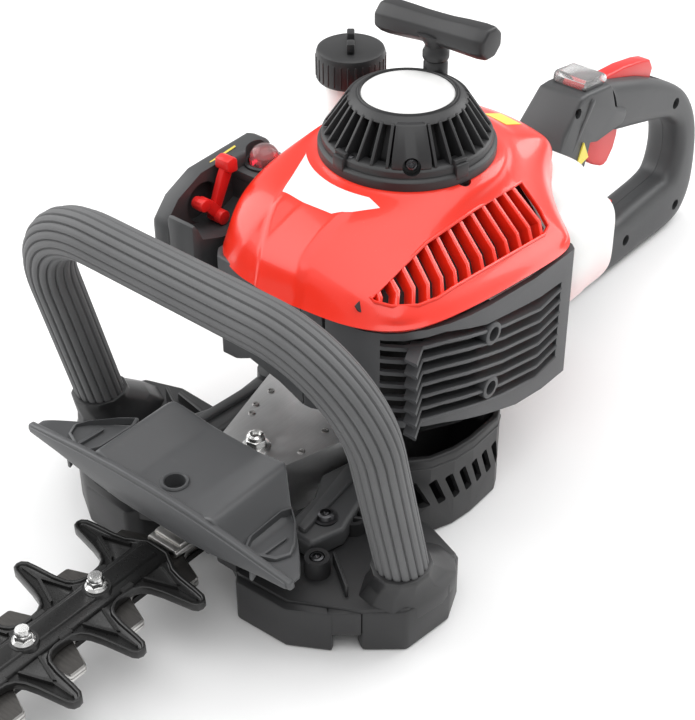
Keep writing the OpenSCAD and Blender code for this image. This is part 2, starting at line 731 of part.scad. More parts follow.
gear_case();
gear_cover();
gear_axle();
gear_bearings();
drive_gear();
blade_eccentrics();
drive_pinion();
clutch_drum();
clutch_shoes();
clutch_housing();
crankcase();
crank_bearings();
crankshaft();
connecting_rod();
piston();
cylinder_part();  // cylinder
spark_plug();
flywheel();
ignition_coil();
muffler();
muffler_cover();
carburettor();
air_filter();
air_box();
choke_lever();
primer_bulb();
engine_cover();
lower_cowl();
lower_shroud();
starter_housing();
starter_badge();
starter_pulley();
recoil_spring();
starter_rope();
starter_grip();
fuel_tank();
fuel_cap();
handle_mount();
switch_housing();
handle_shell(1);  // handle_shell_left
handle_shell(-1);  // handle_shell_right
throttle_trigger();
lockout_lever();
stop_switch();
switch_cover();
swivel_lock();
handle_screws();
base_bracket();
front_guard();
side_arms();
front_handle();
front_grip();
frame_screws();
guide_bar();
lower_blade();
upper_blade();
comb_guard();
blade_bolts();
blade_nuts();
root_clamp();
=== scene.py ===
# Looks of the petrol hedge trimmer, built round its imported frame.
# Lengths in the piece functions are millimetres; a finished piece is scaled to metres.
import json
from math import cos, sin, pi, radians

import bmesh
import bpy
from mathutils import Matrix, Vector
from mathutils.bvhtree import BVHTree


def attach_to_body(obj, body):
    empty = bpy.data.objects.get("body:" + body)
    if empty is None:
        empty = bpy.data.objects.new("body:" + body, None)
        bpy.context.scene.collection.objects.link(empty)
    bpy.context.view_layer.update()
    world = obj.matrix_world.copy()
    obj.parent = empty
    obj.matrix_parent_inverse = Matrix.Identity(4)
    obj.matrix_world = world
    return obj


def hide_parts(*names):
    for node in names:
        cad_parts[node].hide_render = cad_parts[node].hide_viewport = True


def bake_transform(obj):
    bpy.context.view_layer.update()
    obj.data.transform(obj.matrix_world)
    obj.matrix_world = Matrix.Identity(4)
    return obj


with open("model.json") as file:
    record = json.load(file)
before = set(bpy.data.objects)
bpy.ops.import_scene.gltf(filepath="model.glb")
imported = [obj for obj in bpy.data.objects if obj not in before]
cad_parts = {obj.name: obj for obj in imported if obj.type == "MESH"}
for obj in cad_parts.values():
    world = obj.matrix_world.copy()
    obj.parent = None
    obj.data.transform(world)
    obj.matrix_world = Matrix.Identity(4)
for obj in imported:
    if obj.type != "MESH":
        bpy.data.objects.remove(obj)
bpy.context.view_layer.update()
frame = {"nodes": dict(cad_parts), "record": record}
toMetres = 0.001
sharpAngle = radians(34)


# shapes

def place(bm, turn=0, axis="Z", move=(0, 0, 0), centre=(0, 0, 0)):
    # turns a part about an axis through centre, then moves it
    bmesh.ops.rotate(bm, verts=bm.verts, cent=centre, matrix=Matrix.Rotation(radians(turn), 3, axis))
    bmesh.ops.translate(bm, verts=bm.verts, vec=move)
    return bm


def roundEdges(bm, width, steps=2, above=34, pick=None):
    # rounds the edges sharper than an angle, or only those that pick accepts
    edges = [e for e in bm.edges if len(e.link_faces) == 2 and e.calc_face_angle(0) > radians(above)
             and (pick is None or pick(e))]
    bmesh.ops.bevel(bm, geom=edges, offset=width, offset_type="OFFSET", segments=steps, profile=0.5,
                    affect="EDGES", material=-1, clamp_overlap=True)
    return bm


def slab(plane, outline, low, high, edge=0.0, steps=2):
    # a flat outline in plane xy, xz or yz, pulled along the third axis
    put = {"xy": lambda p, h: (p[0], p[1], h), "xz": lambda p, h: (p[0], h, p[1]),
           "yz": lambda p, h: (h, p[0], p[1])}[plane]
    bm = bmesh.new()
    face = bm.faces.new([bm.verts.new(put(p, low)) for p in outline])
    grown = bmesh.ops.extrude_face_region(bm, geom=[face])["geom"]
    bmesh.ops.translate(bm, verts=[g for g in grown if isinstance(g, bmesh.types.BMVert)],
                        vec=put((0, 0), high - low))
    bmesh.ops.recalc_face_normals(bm, faces=bm.faces)
    return roundEdges(bm, edge, steps) if edge else bm


def prism(outline, push):
    # a flat outline of 3-D points, pulled along push
    bm = bmesh.new()
    face = bm.faces.new([bm.verts.new(p) for p in outline])
    grown = bmesh.ops.extrude_face_region(bm, geom=[face])["geom"]
    bmesh.ops.translate(bm, verts=[g for g in grown if isinstance(g, bmesh.types.BMVert)], vec=push)
    bmesh.ops.recalc_face_normals(bm, faces=bm.faces)
    return bm


def box(low, high, edge=0.0, steps=2):
    bm = bmesh.new()
    bmesh.ops.create_cube(bm, size=1)
    size = [h - l for l, h in zip(low, high)]
    bmesh.ops.scale(bm, verts=bm.verts, vec=size)
    bmesh.ops.translate(bm, verts=bm.verts, vec=[(l + h) / 2 for l, h in zip(low, high)])
    return roundEdges(bm, edge, steps) if edge else bm


def rod(start, end, r, endR=None, sides=32, edge=0.0, steps=2):
    start, end = Vector(start), Vector(end)
    bm = bmesh.new()
    bmesh.ops.create_cone(bm, cap_ends=True, segments=sides, radius1=r, radius2=r if endR is None else endR,
                          depth=(end - start).length)
    turn = Vector((0, 0, 1)).rotation_difference(end - start).to_matrix()
    bmesh.ops.rotate(bm, verts=bm.verts, cent=(0, 0, 0), matrix=turn)
    bmesh.ops.translate(bm, verts=bm.verts, vec=(start + end) / 2)
    return roundEdges(bm, edge, steps, 50) if edge else bm


def lathe(profile, x=0, y=0, sides=72, sweep=360, first=0):
    # spins a closed profile of (radius, height) round an upright axis
    bm = bmesh.new()
    face = bm.faces.new([bm.verts.new((r, 0, z)) for r, z in profile])
    whole = sweep == 360
    geom = list(bm.verts) + list(bm.edges) + ([] if whole else [face])
    if whole:
        bm.faces.remove(face)
        geom = list(bm.verts) + list(bm.edges)
    bmesh.ops.spin(bm, geom=geom, cent=(0, 0, 0), axis=(0, 0, 1), angle=radians(sweep),
                   steps=max(2, round(sides * sweep / 360)), use_merge=whole)
    bmesh.ops.remove_doubles(bm, verts=bm.verts, dist=0.0005)
    bmesh.ops.recalc_face_normals(bm, faces=bm.faces)
    return place(bm, first, move=(x, y, 0))


def loft(rings, closed=True, caps=False):
    # bridges matching rings of points into one skin
    bm = bmesh.new()
    loops = []
    for points in rings:
        verts = [bm.verts.new(p) for p in points]
        count = len(verts) if closed else len(verts) - 1
        loops.append([bm.edges.new((verts[i], verts[(i + 1) % len(verts)])) for i in range(count)])
        if caps and len(loops) in (1, len(rings)):
            bm.faces.new(verts)
    for one, other in zip(loops, loops[1:]):
        bmesh.ops.bridge_loops(bm, edges=one + other)
    bmesh.ops.recalc_face_normals(bm, faces=bm.faces)
    return bm


def mirrored(bm, axis="Y"):
    # the same part on the other side of the middle plane
    other = bm.copy()
    bmesh.ops.scale(other, verts=other.verts, vec=[-1 if a == axis else 1 for a in "XYZ"])
    bmesh.ops.reverse_faces(other, faces=other.faces)
    return other


def torxScrew(at, headR, height=3.0, normal=(0, 0, 1)):
    # round screw head with a star recess
    bm = lathe([(0, 0), (headR, 0), (headR, height * 0.45), (headR * 0.85, height * 0.85),
                (headR * 0.6, height), (headR * 0.55, height * 0.45), (0, height * 0.4)], sides=32)
    star = [rod((0, 0, height * 0.35), (headR * 0.5 * cos(a * pi / 3), headR * 0.5 * sin(a * pi / 3),
                                       height * 0.5), headR * 0.13, sides=6) for a in range(6)]
    return [aim(part, at, normal) for part in [bm] + star]


def aim(bm, at, normal):
    turn = Vector((0, 0, 1)).rotation_difference(Vector(normal)).to_matrix()
    bmesh.ops.rotate(bm, verts=bm.verts, cent=(0, 0, 0), matrix=turn)
    bmesh.ops.translate(bm, verts=bm.verts, vec=at)
    return bm


def asObject(name, parts):
    # joins the parts into one object and frees them
    whole = bmesh.new()
    for part in parts:
        mesh = bpy.data.meshes.new("part")
        part.to_mesh(mesh)
        whole.from_mesh(mesh)
        bpy.data.meshes.remove(mesh)
        part.free()
    bmesh.ops.scale(whole, verts=whole.verts, vec=(toMetres,) * 3)
    mesh = bpy.data.meshes.new(name)
    whole.to_mesh(mesh)
    whole.free()
    thing = bpy.data.objects.new(name, mesh)
    bpy.context.scene.collection.objects.link(thing)
    return thing


def settle(thing):
    # turns the live modifiers into mesh
    bpy.context.view_layer.update()
    solid = bpy.data.meshes.new_from_object(thing.evaluated_get(bpy.context.evaluated_depsgraph_get()))
    thing.modifiers.clear()
    thing.data = solid


def carve(thing, tools, operation="DIFFERENCE"):
    # cuts overlapping tools out of a piece, or joins them on
    tool = asObject("tool", tools)
    change = thing.modifiers.new("carve", "BOOLEAN")
    change.operation, change.object, change.solver = operation, tool, "EXACT"
    change.use_self = True
    settle(thing)
    bpy.data.objects.remove(tool)


def shadeByAngle(thing, angle=sharpAngle):
    bm = bmesh.new()
    bm.from_mesh(thing.data)
    for face in bm.faces:
        face.smooth = True
    for edge in bm.edges:
        edge.smooth = len(edge.link_faces) == 2 and edge.calc_face_angle(0) < angle
    bm.to_mesh(thing.data)
    bm.free()


def finish(thing, body, material, stands=(), smooth=True):
    # shading, material and the piece's place among the bodies
    if smooth:
        shadeByAngle(thing)
    thing.data.materials.clear()
    thing.data.materials.append(material)
    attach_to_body(thing, body)
    if stands:
        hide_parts(*stands)
    return thing


def piece(name, parts, body, material, stands=(), cut=(), levels=0):
    thing = asObject(name, parts)
    if levels:
        soft = thing.modifiers.new("smooth", "SUBSURF")
        soft.levels = soft.render_levels = levels
        settle(thing)
    if cut:
        carve(thing, list(cut))
    return finish(thing, body, material, stands)


# materials

def attach(tree, socket, value):
    if isinstance(value, Wire):
        tree.links.new(value.socket, socket)
    elif hasattr(socket.default_value, "__len__") and not hasattr(value, "__len__"):
        socket.default_value = [value] * 3
    elif hasattr(value, "__len__") and len(value) == 3 and len(socket.default_value) == 4:
        socket.default_value = (*value, 1)
    else:
        socket.default_value = value


def addNode(tree, kind, settings, inputs, out=0):
    # adds a node: its settings are set first, then its sockets are filled or linked
    node = tree.nodes.new(kind)
    for key, value in settings.items():
        if key == "stops":
            ramp = node.color_ramp
            for spot, colour in value[2:]:
                ramp.elements.new(spot)
            for element, (spot, colour) in zip(ramp.elements, sorted(value, key=lambda s: s[0])):
                element.position, element.color = spot, (*colour, 1)
        else:
            setattr(node, key, value)
    for key, value in inputs.items():
        attach(tree, node.inputs[key], value)
    return Wire(tree, node.outputs[out])


class Wire:
    # a shader socket that adds and multiplies like a number
    def __init__(self, tree, socket):
        self.tree, self.socket = tree, socket

    def math(self, operation, *terms):
        return addNode(self.tree, "ShaderNodeMath", {"operation": operation}, dict(enumerate(terms)))

    def __add__(self, other):
        return self.math("ADD", self, other)

    def __mul__(self, other):
        return self.math("MULTIPLY", self, other)

    def __sub__(self, other):
        return self.math("SUBTRACT", self, other)

    def __rsub__(self, other):
        return self.math("SUBTRACT", other, self)

    def __pow__(self, other):
        return self.math("POWER", self, other)

    __radd__ = __add__
    __rmul__ = __mul__

    def between(self, low, high):
        # 0 below low, 1 above high, smooth between
        return addNode(self.tree, "ShaderNodeMapRange", {"interpolation_type": "SMOOTHSTEP"},
                       {"Value": self, "From Min": low, "From Max": high})


class Finish:
    # one material and what is usually asked of its nodes
    def __init__(self, name, **fixed):
        self.material = bpy.data.materials.new(name)
        self.material.use_nodes = True
        self.tree = self.material.node_tree
        self.shader = self.tree.nodes["Principled BSDF"]
        for key, value in fixed.items():
            attach(self.tree, self.shader.inputs[key.replace("_", " ")], value)
        self.spot = addNode(self.tree, "ShaderNodeTexCoord", {}, {}, out=3)

    def node(self, kind, settings, inputs, out=0):
        return addNode(self.tree, kind, settings, inputs, out)

    def stretched(self, scale):
        return self.node("ShaderNodeMapping", {}, {"Vector": self.spot, "Scale": scale})

    def noise(self, scale, detail=3, rough=0.55, where=None):
        return self.node("ShaderNodeTexNoise", {}, {"Vector": where or self.spot, "Scale": scale,
                                                    "Detail": detail, "Roughness": rough})

    def grains(self, scale):
        return self.node("ShaderNodeTexVoronoi", {}, {"Vector": self.spot, "Scale": scale})

    def mix(self, share, one, other):
        return self.node("ShaderNodeMix", {"data_type": "RGBA"}, {0: share, 6: one, 7: other}, out=2)

    def height(self):
        return self.node("ShaderNodeSeparateXYZ", {}, {"Vector": self.spot}, out=2)

    def facing(self, out):
        normal = self.node("ShaderNodeNewGeometry", {}, {}, out=1)
        return self.node("ShaderNodeSeparateXYZ", {}, {"Vector": normal}, out=out)

    def bump(self, height, depth, strength=1.0):
        return self.node("ShaderNodeBump", {}, {"Height": height, "Distance": depth, "Strength": strength})

    def set(self, **links):
        for key, value in links.items():
            attach(self.tree, self.shader.inputs[key.replace("_", " ")], value)
        return self.material


def tint(colour, by):
    return tuple(min(1.0, c * by) for c in colour)


def mouldedPlastic(name, colour, rough=0.45, grain=1500, depth=0.00003, spread=0.12, **fixed):
    # injection-moulded skin: fine spark grain, faint flow marks and a little handling dirt
    made = Finish(name, **fixed)
    fine = made.noise(grain, 2, 0.6)
    broad = made.noise(22, 4)
    flow = made.noise(9, 3, 0.6, made.stretched((1, 1, 3.5)))
    scuff = made.noise(160, 4, 0.7, made.stretched((1, 0.25, 1))).between(0.62, 0.74)
    base = made.mix(broad, tint(colour, 1 - spread), tint(colour, 1 + spread))
    base = made.mix(scuff * 0.22, base, tint(colour, 1.6))
    return made.set(Base_Color=base, Roughness=rough - 0.06 + 0.1 * fine + 0.07 * flow + 0.06 * scuff,
                    Normal=made.bump(fine, depth, 0.7))


def glossyShell(name, colour, rough=0.2):
    # high-gloss coloured cover with a trace of ripple and dust
    made = Finish(name, Coat_Weight=0.35, Coat_Roughness=0.06, Specular_IOR_Level=0.5)
    ripple = made.noise(60, 2, 0.4)
    dust = made.noise(700, 3, 0.7).between(0.66, 0.8)
    broad = made.noise(14, 3)
    base = made.mix(broad, tint(colour, 0.93), tint(colour, 1.05))
    base = made.mix(dust * 0.1, base, (0.9, 0.75, 0.7))
    return made.set(Base_Color=base, Roughness=rough + 0.05 * broad + 0.12 * dust,
                    Normal=made.bump(ripple, 0.00012, 0.35))


def metal(name, colour, rough=0.3, brush=(1, 1, 1), scale=400, depth=0.00002, spots=0.15):
    # bare or coated metal with brushing along one direction and small stains
    made = Finish(name, Metallic=1.0)
    lines = made.noise(scale, 4, 0.65, made.stretched(brush))
    stain = made.noise(38, 5, 0.6).between(0.45, 0.75)
    base = made.mix(lines, tint(colour, 0.86), tint(colour, 1.12))
    base = made.mix(stain * spots, base, tint(colour, 0.55))
    return made.set(Base_Color=base, Roughness=rough + 0.14 * lines + 0.12 * stain,
                    Normal=made.bump(lines, depth, 0.6))


def bladeSteel(name):
    # dark coated faces, bright where the tooth flanks are ground
    made = Finish(name, Metallic=1.0)
    lines = made.noise(900, 4, 0.65, made.stretched((1, 0.12, 1)))
    ground = made.facing(2).math("ABSOLUTE", made.facing(2)).between(0.9, 0.55)
    dark = made.mix(lines, (0.05, 0.048, 0.046), (0.12, 0.115, 0.11))
    bright = made.mix(lines, (0.55, 0.54, 0.52), (0.85, 0.84, 0.82))
    return made.set(Base_Color=made.mix(ground, dark, bright), Roughness=0.42 - 0.18 * ground + 0.1 * lines,
                    Normal=made.bump(lines, 0.00002, 0.5))


def tankPlastic(name):
    # milky tank: white with the red of the mix showing low down
    made = Finish(name, Roughness=0.32, Subsurface_Weight=0.35, Subsurface_Scale=0.02,
                  Subsurface_Radius=(1.0, 0.8, 0.75))
    level = made.height().between(0.118, 0.085)
    cloud = made.noise(30, 3)
    milk = made.mix(cloud, (0.9, 0.89, 0.87), (0.95, 0.94, 0.93))
    return made.set(Base_Color=made.mix(level * (0.35 + 0.2 * cloud), milk, (0.93, 0.36, 0.36)),
                    Normal=made.bump(made.noise(500, 2), 0.00003, 0.4))


def clearPlastic(name, colour, rough=0.06):
    made = Finish(name, Transmission_Weight=0.9, IOR=1.45)
    haze = made.noise(300, 3)
    return made.set(Base_Color=made.mix(haze, tint(colour, 0.96), colour), Roughness=rough + 0.06 * haze)


def braid(name, colour):
    made = Finish(name)
    weave = made.node("ShaderNodeTexWave", {"bands_direction": "Z"}, {"Vector": made.spot, "Scale": 260,
                                                                     "Distortion": 3, "Detail": 1})
    return made.set(Base_Color=made.mix(weave, tint(colour, 0.6), colour), Roughness=0.7 + 0.2 * weave,
                    Normal=made.bump(weave, 0.0003, 0.8))


def foam(name, colour):
    made = Finish(name)
    cells = made.grains(900)
    return made.set(Base_Color=made.mix(cells, tint(colour, 0.4), colour), Roughness=0.85 + 0.1 * cells,
                    Normal=made.bump(cells, 0.0004, 0.9))


red = glossyShell("redCoverPlastic", (0.85, 0.025, 0.008), 0.26)
redTouch = mouldedPlastic("redControlPlastic", (0.72, 0.02, 0.018), 0.3, depth=0.00001)
blackPlastic = mouldedPlastic("blackPlastic", (0.02, 0.02, 0.021), 0.4)
combPlastic = mouldedPlastic("combPlastic", (0.012, 0.012, 0.012), 0.27, grain=700, depth=0.00006)
darkPlastic = mouldedPlastic("darkGreyPlastic", (0.05, 0.051, 0.053), 0.42)
cowlPlastic = mouldedPlastic("mufflerCowlPlastic", (0.062, 0.063, 0.066), 0.4)
guardPlastic = mouldedPlastic("guardPlastic", (0.085, 0.087, 0.09), 0.36, grain=1100, depth=0.00006)
gripRubber = mouldedPlastic("gripRubber", (0.115, 0.116, 0.118), 0.62, grain=2200, depth=0.00012, spread=0.2)
milkyPlastic = tankPlastic("milkyTankPlastic")
clearCover = clearPlastic("clearCoverPlastic", (0.97, 0.97, 0.97))
bulbPlastic = clearPlastic("primerBulbPlastic", (0.95, 0.8, 0.8), 0.08)
redFuel = clearPlastic("redFuelMix", (0.8, 0.02, 0.05), 0.1)
whiteSticker = mouldedPlastic("whiteLabel", (0.86, 0.86, 0.85), 0.3, depth=0.000005, spread=0.03)
yellowSticker = mouldedPlastic("yellowLabel", (0.86, 0.72, 0.1), 0.32, depth=0.000005, spread=0.04)
castAluminium = metal("castAluminium", (0.56, 0.56, 0.57), 0.42, scale=900, depth=0.00008)
brushedPlate = metal("brushedAluminium", (0.75, 0.75, 0.75), 0.3, (0.06, 1, 1), 1200)
workedSteel = metal("workedSteel", (0.42, 0.41, 0.4), 0.3, (1, 1, 0.2), 700)
brightZinc = metal("brightZinc", (0.78, 0.78, 0.77), 0.16, scale=300, spots=0.1)
blackSteel = metal("blackCoatedSteel", (0.035, 0.034, 0.034), 0.42, scale=500)
darkScrew = metal("darkScrewSteel", (0.1, 0.1, 0.105), 0.3, scale=500)
clampSteel = metal("clampSteel", (0.72, 0.71, 0.69), 0.28, (1, 0.3, 1), 500)
bladeMetal = bladeSteel("bladeSteel")
ropeFibre = braid("ropeFibre", (0.8, 0.78, 0.7))
filterFoam = foam("filterFoam", (0.5, 0.42, 0.2))
ceramic = mouldedPlastic("plugCeramic", (0.8, 0.78, 0.74), 0.2, depth=0.000005, spread=0.04)

slotFinish = {"red_cowl": red, "red_control": redTouch, "black_plastic": blackPlastic,
              "dark_plastic": darkPlastic, "grey_plastic": guardPlastic, "grip_rubber": gripRubber,
              "tank_plastic": milkyPlastic, "clear_plastic": clearCover, "bulb_plastic": bulbPlastic,
              "badge_white": whiteSticker, "cast_aluminium": castAluminium, "black_steel": blackSteel,
              "steel": workedSteel, "zinc_steel": brightZinc, "plug_ceramic": ceramic,
              "foam": filterFoam, "rope": ropeFibre}
for subpart in frame["record"]["subparts"]:
    data = frame["nodes"][subpart["node"]].data
    data.materials.clear()
    data.materials.append(slotFinish[subpart["material_slot"]])
print("materials on the frame: done")


# camera, light and floor

view = {"place": (0.672, 0.527, 0.687), "pitch": 36.93, "heading": 40.58, "roll": -0.47,
        "lens": 1611.75 / 720 * 36}


def setCamera():
    pitch, heading, roll = (radians(view[k]) for k in ("pitch", "heading", "roll"))
    ahead = Vector((-cos(heading) * cos(pitch), -sin(heading) * cos(pitch), -sin(pitch)))
    right = ahead.cross(Vector((0, 0, 1))).normalized()
    up = right.cross(ahead)
    right, up = cos(roll) * right + sin(roll) * up, cos(roll) * up - sin(roll) * right
    data = bpy.data.cameras.new("camera")
    data.lens, data.sensor_fit, data.sensor_height, data.sensor_width = view["lens"], "VERTICAL", 36, 36
    data.clip_end = 50
    camera = bpy.data.objects.new("camera", data)
    camera.matrix_world = Matrix((right, up, -ahead)).transposed().to_4x4()
    camera.location = view["place"]
    bpy.context.scene.collection.objects.link(camera)
    bpy.context.scene.camera = camera


def addLight(name, spot, target, size, power):
    data = bpy.data.lights.new(name, "AREA")
    data.shape, data.size, data.size_y, data.energy = "RECTANGLE", size[0], size[1], power
    light = bpy.data.objects.new(name, data)
    light.location = spot
    light.rotation_euler = (Vector(target) - Vector(spot)).to_track_quat("-Z", "Y").to_euler()
    bpy.context.scene.collection.objects.link(light)


def setStage():
    bm = bmesh.new()
    bmesh.ops.create_grid(bm, x_segments=1, y_segments=1, size=6)
    mesh = bpy.data.meshes.new("floor")
    bm.to_mesh(mesh)
    bm.free()
    floor = bpy.data.objects.new("floor", mesh)
    bpy.context.scene.collection.objects.link(floor)
    paper = Finish("paperFloor", Roughness=0.7)
    paper.set(Base_Color=paper.mix(paper.noise(3, 2), (0.9, 0.9, 0.9), (0.93, 0.93, 0.93)))
    mesh.materials.append(paper.material)
    world = bpy.data.worlds.new("studio")
    bpy.context.scene.world = world
    world.use_nodes = True
    world.node_tree.nodes["Background"].inputs[0].default_value = (1, 1, 1, 1)
    world.node_tree.nodes["Background"].inputs[1].default_value = 0.58
    addLight("leftBox", (0.5, -1.5, 1.15), (0, 0, 0.1), (2.0, 1.6), 24)
    addLight("topBox", (0.1, 0.3, 1.9), (0.05, 0, 0.1), (2.4, 2.0), 26)
    addLight("backBox", (-1.4, 0.4, 1.0), (0, 0, 0.15), (1.0, 1.0), 12)
    bpy.context.scene.view_settings.view_transform = "Standard"


setCamera()
setStage()
print("camera, light and floor: done")


# engine cover

# stations run round the cover from the front; each has a seat angle, then the shoulder, belt and lower edge
cover = {"seatR": 52.8, "lipR": 55.6, "lipZ": 207, "footR": 60, "footZ": 204.6, "wall": 2.6}
coverStations = [
    (0, (93, 1, 197.5), (116, 1, 183), (126, 1, 166)),
    (12, (92, 16, 198.5), (116, 17, 184.5), (126.5, 18, 166)),
    (26, (88, 36, 195.5), (113, 40, 183.5), (126, 40, 167)),
    (40, (78, 55, 192), (109, 60, 183), (123.5, 62, 168)),
    (52, (62, 64, 191), (99, 74, 182), (112, 85, 169)),
    (64, (44, 63, 192.5), (75, 83, 176), (88, 94, 167)),
    (77, (25, 62.5, 194), (46, 86, 173), (50, 97.5, 163)),
    (91, (6, 62.5, 195), (14, 87, 170), (12, 98.5, 159.5)),
    (105, (-12, 62, 195.5), (-16, 87, 167), (-20, 98.5, 156)),
    (119, (-25, 58, 196), (-38, 85, 166), (-45, 96, 153.5)),
    (131, (-36, 53, 196.5), (-50, 72, 174), (-55, 80, 158)),
    (144, (-50, 44, 197.5), (-66, 53, 184), (-70, 57, 168)),
    (157, (-66, 34, 198), (-92, 42, 188), (-100, 44, 171)),
    (172, (-74, 12, 199), (-99, 17, 189), (-106, 18, 172)),
    (190, (-74, -12, 199), (-98, -18, 190), (-105, -18, 173)),
    (207, (-64, -35, 200), (-84, -44, 192), (-92, -48, 173)),
    (228, (-42, -48, 202.5), (-54, -57, 196), (-58, -59, 172)),
    (250, (-18, -57, 204), (-22, -61, 198), (-22, -62, 172)),
    (275, (8, -60, 204.5), (10, -63, 198), (10, -64, 172)),
    (298, (38, -58, 204), (42, -64, 197), (42, -65, 172)),
    (318, (68, -54, 201.5), (79, -63, 191), (81, -65, 172)),
    (334, (86, -40, 200), (105, -49, 187), (113, -53, 168)),
    (344, (92, -24, 200), (113, -28, 186.5), (123, -31, 166)),
    (352, (93, -12, 197), (115, -14, 183), (125.5, -15, 166))]


def coverSkin():
    def at(angle, r, z):
        return (r * cos(radians(angle)), r * sin(radians(angle)), z)

    def blend(a, b, share, lift=0.0):
        return tuple(p + (q - p) * share for p,
                     q in zip(a[:2], b[:2])) + (a[2] + (b[2] - a[2]) * share + lift,)

    rings = [[at(s[0], cover["seatR"], 199) for s in coverStations],
             [at(s[0], cover["seatR"], cover["lipZ"] - 1) for s in coverStations],
             [at(s[0], cover["seatR"] + 1.2, cover["lipZ"]) for s in coverStations],
             [at(s[0], cover["lipR"], cover["lipZ"] - 0.6) for s in coverStations],
             [at(s[0], cover["footR"], cover["footZ"]) for s in coverStations],
             [blend(at(s[0], cover["footR"], cover["footZ"]), s[1], 0.55, 1.5) for s in coverStations],
             [s[1] for s in coverStations],
             [blend(s[1], s[2], 0.5, 1.2) for s in coverStations],
             [s[2] for s in coverStations],
             [blend(s[2], s[3], 0.45, 0.5) for s in coverStations],
             [blend(s[2], s[3], 0.85) for s in coverStations],
             [s[3] for s in coverStations]]
    bm = loft(rings)
    crease = bm.edges.layers.float.new("crease_edge")
    frontLines = {1: 0.8, 22: 0.55, 23: 0.6, 4: 0.5, 9: 0.7, 12: 0.4}
    for edge in bm.edges:
        a, b = edge.verts
        for station, strength in frontLines.items():
            for ring in range(5, 10):
                ends = {a.index // len(coverStations), b.index // len(coverStations)}
                if a.index % len(coverStations) == b.index % len(coverStations) == station and min(ends) == ring:
                    edge[crease] = strength
        if a.index // len(coverStations) == b.index // len(coverStations) == len(rings) - 1:
            edge[crease] = 1
    return bm


# the vent's outline in plan, and the bars across it: pitch along the cover, how the bars lean, where they end
vent = {"out": (0, 0.75, 0.66), "depth": 13, "finHalf": 1.6, "finDeep": 9, "lip": 1.1, "fins": 13,
        "firstX": 103,
        "pitch": 10.5, "topY": 63.5, "kinkY": (81, 14), "lowY": (86.6, 16.2), "kinkLean": 5.2, "lowLean": 5.6,
        "rim": [(109, 62), (60, 62.2), (18, 63.5), (-32, 62), (-33, 76), (-32, 84), (-24, 86.5), (16, 86.5),
                (65, 85), (78, 84.7), (92, 82), (105, 74), (109, 65)]}


def skinFinder(thing):
    # tells the point of a piece's upper side over a place in plan
    solid = bmesh.new()
    solid.from_mesh(thing.data)
    tree = BVHTree.FromBMesh(solid)
    solid.free()

    def find(x, y, lift=0.0):
        spot, normal = tree.ray_cast(Vector((x, y, 400)) * toMetres, Vector((0, 0, -1)))[:2]
        return spot / toMetres + normal * lift
    return find


def flatPrism(points, along, low, high, grow=1.0):
    # the outline of points seen along a direction, as a solid between two depths off their mean plane
    along = Vector(along).normalized()
    middle = sum((Vector(p) for p in points), Vector()) / len(points)
    flat = []
    for p in points:
        arm = Vector(p) - middle
        flat.append(middle + (arm - along * arm.dot(along)) * grow + along * low)
    return prism(flat, along * (high - low))


def ventFins(find):
    # kinked bars across the window, set a little below the skin, with their ends in its walls
    out = Vector(vent["out"]).normalized()
    parts = []
    for i in range(vent["fins"]):
        share = i / (vent["fins"] - 1)
        x = vent["firstX"] - vent["pitch"] * i
        kinkLean = vent["kinkLean"] * cos(pi * (share - 0.3) / 0.8)
        lowLean = vent["lowLean"] * (1 + cos(pi * (share - 0.27) / 0.7))
        kinkY, lowY = (far - drop * (1 - share) ** 5 for far, drop in (vent["kinkY"], vent["lowY"]))
        top, kink, low = find(x, vent["topY"]), find(x + kinkLean, kinkY), find(x + lowLean, lowY)
        top, low = top + (top - kink).normalized() * 1.5, low + (low - kink).normalized() * 1.5
        rings = []
        for p in (top, kink, low):
            face, back = p - out * 0.9, p - out * vent["finDeep"]
            side = Vector((vent["finHalf"], 0, 0))
            rings.append([face - side, face + side, back + side, back - side])
        parts.append(roundEdges(loft(rings, caps=True), 0.5, 2, 60))
    return parts


def bead(points, r, sides=8):
    # a round bead that follows a closed run of points
    rings = []
    for i, p in enumerate(points):
        ahead = (Vector(points[(i + 1) % len(points)]) - Vector(points[i - 1])).normalized()
        across = ahead.cross(Vector((0, 0.75, 0.66))).normalized()
        up = across.cross(ahead)
        rings.append([Vector(p) + r * (cos(2 * pi * k / sides) * across + sin(2 * pi * k / sides) * up)
                      for k in range(sides)])
    bm = loft(rings + rings[:1])
    bmesh.ops.remove_doubles(bm, verts=bm.verts, dist=0.001)
    bmesh.ops.recalc_face_normals(bm, faces=bm.faces)
    return bm


# steps in the top of the cover: lines in plan, the skin on their left is the higher side
coverSteps = [((84, -27.4), (101.5, -21.2), (118, -13.4)), ((121.5, 20.8), (111.6, 15.3), (84, 16.5))]
coverStep = {"rise": 1.5, "soft": 1.6, "fadeFrom": 62, "fadeTo": 84}


def leftOf(x, y, line):
    # signed distance from a bent line in plan, positive on its left
    best = None
    for a, b in zip(line, line[1:]):
        run = (b[0] - a[0], b[1] - a[1])
        length = (run[0] ** 2 + run[1] ** 2) ** 0.5
        share = ((x - a[0]) * run[0] + (y - a[1]) * run[1]) / length ** 2
        share = max(-9 if a is line[0] else 0, min(9 if b is line[-1] else 1, share))
        dx, dy = x - a[0] - run[0] * share, y - a[1] - run[1] * share
        side = run[0] * (y - a[1]) - run[1] * (x - a[0])
        gap = (dx * dx + dy * dy) ** 0.5 * (1 if side > 0 else -1)
        best = gap if best is None or abs(gap) < abs(best) else best
    return best


def soft(value, low, high):
    share = max(0.0, min(1.0, (value - low) / (high - low)))
    return share * share * (3 - 2 * share)


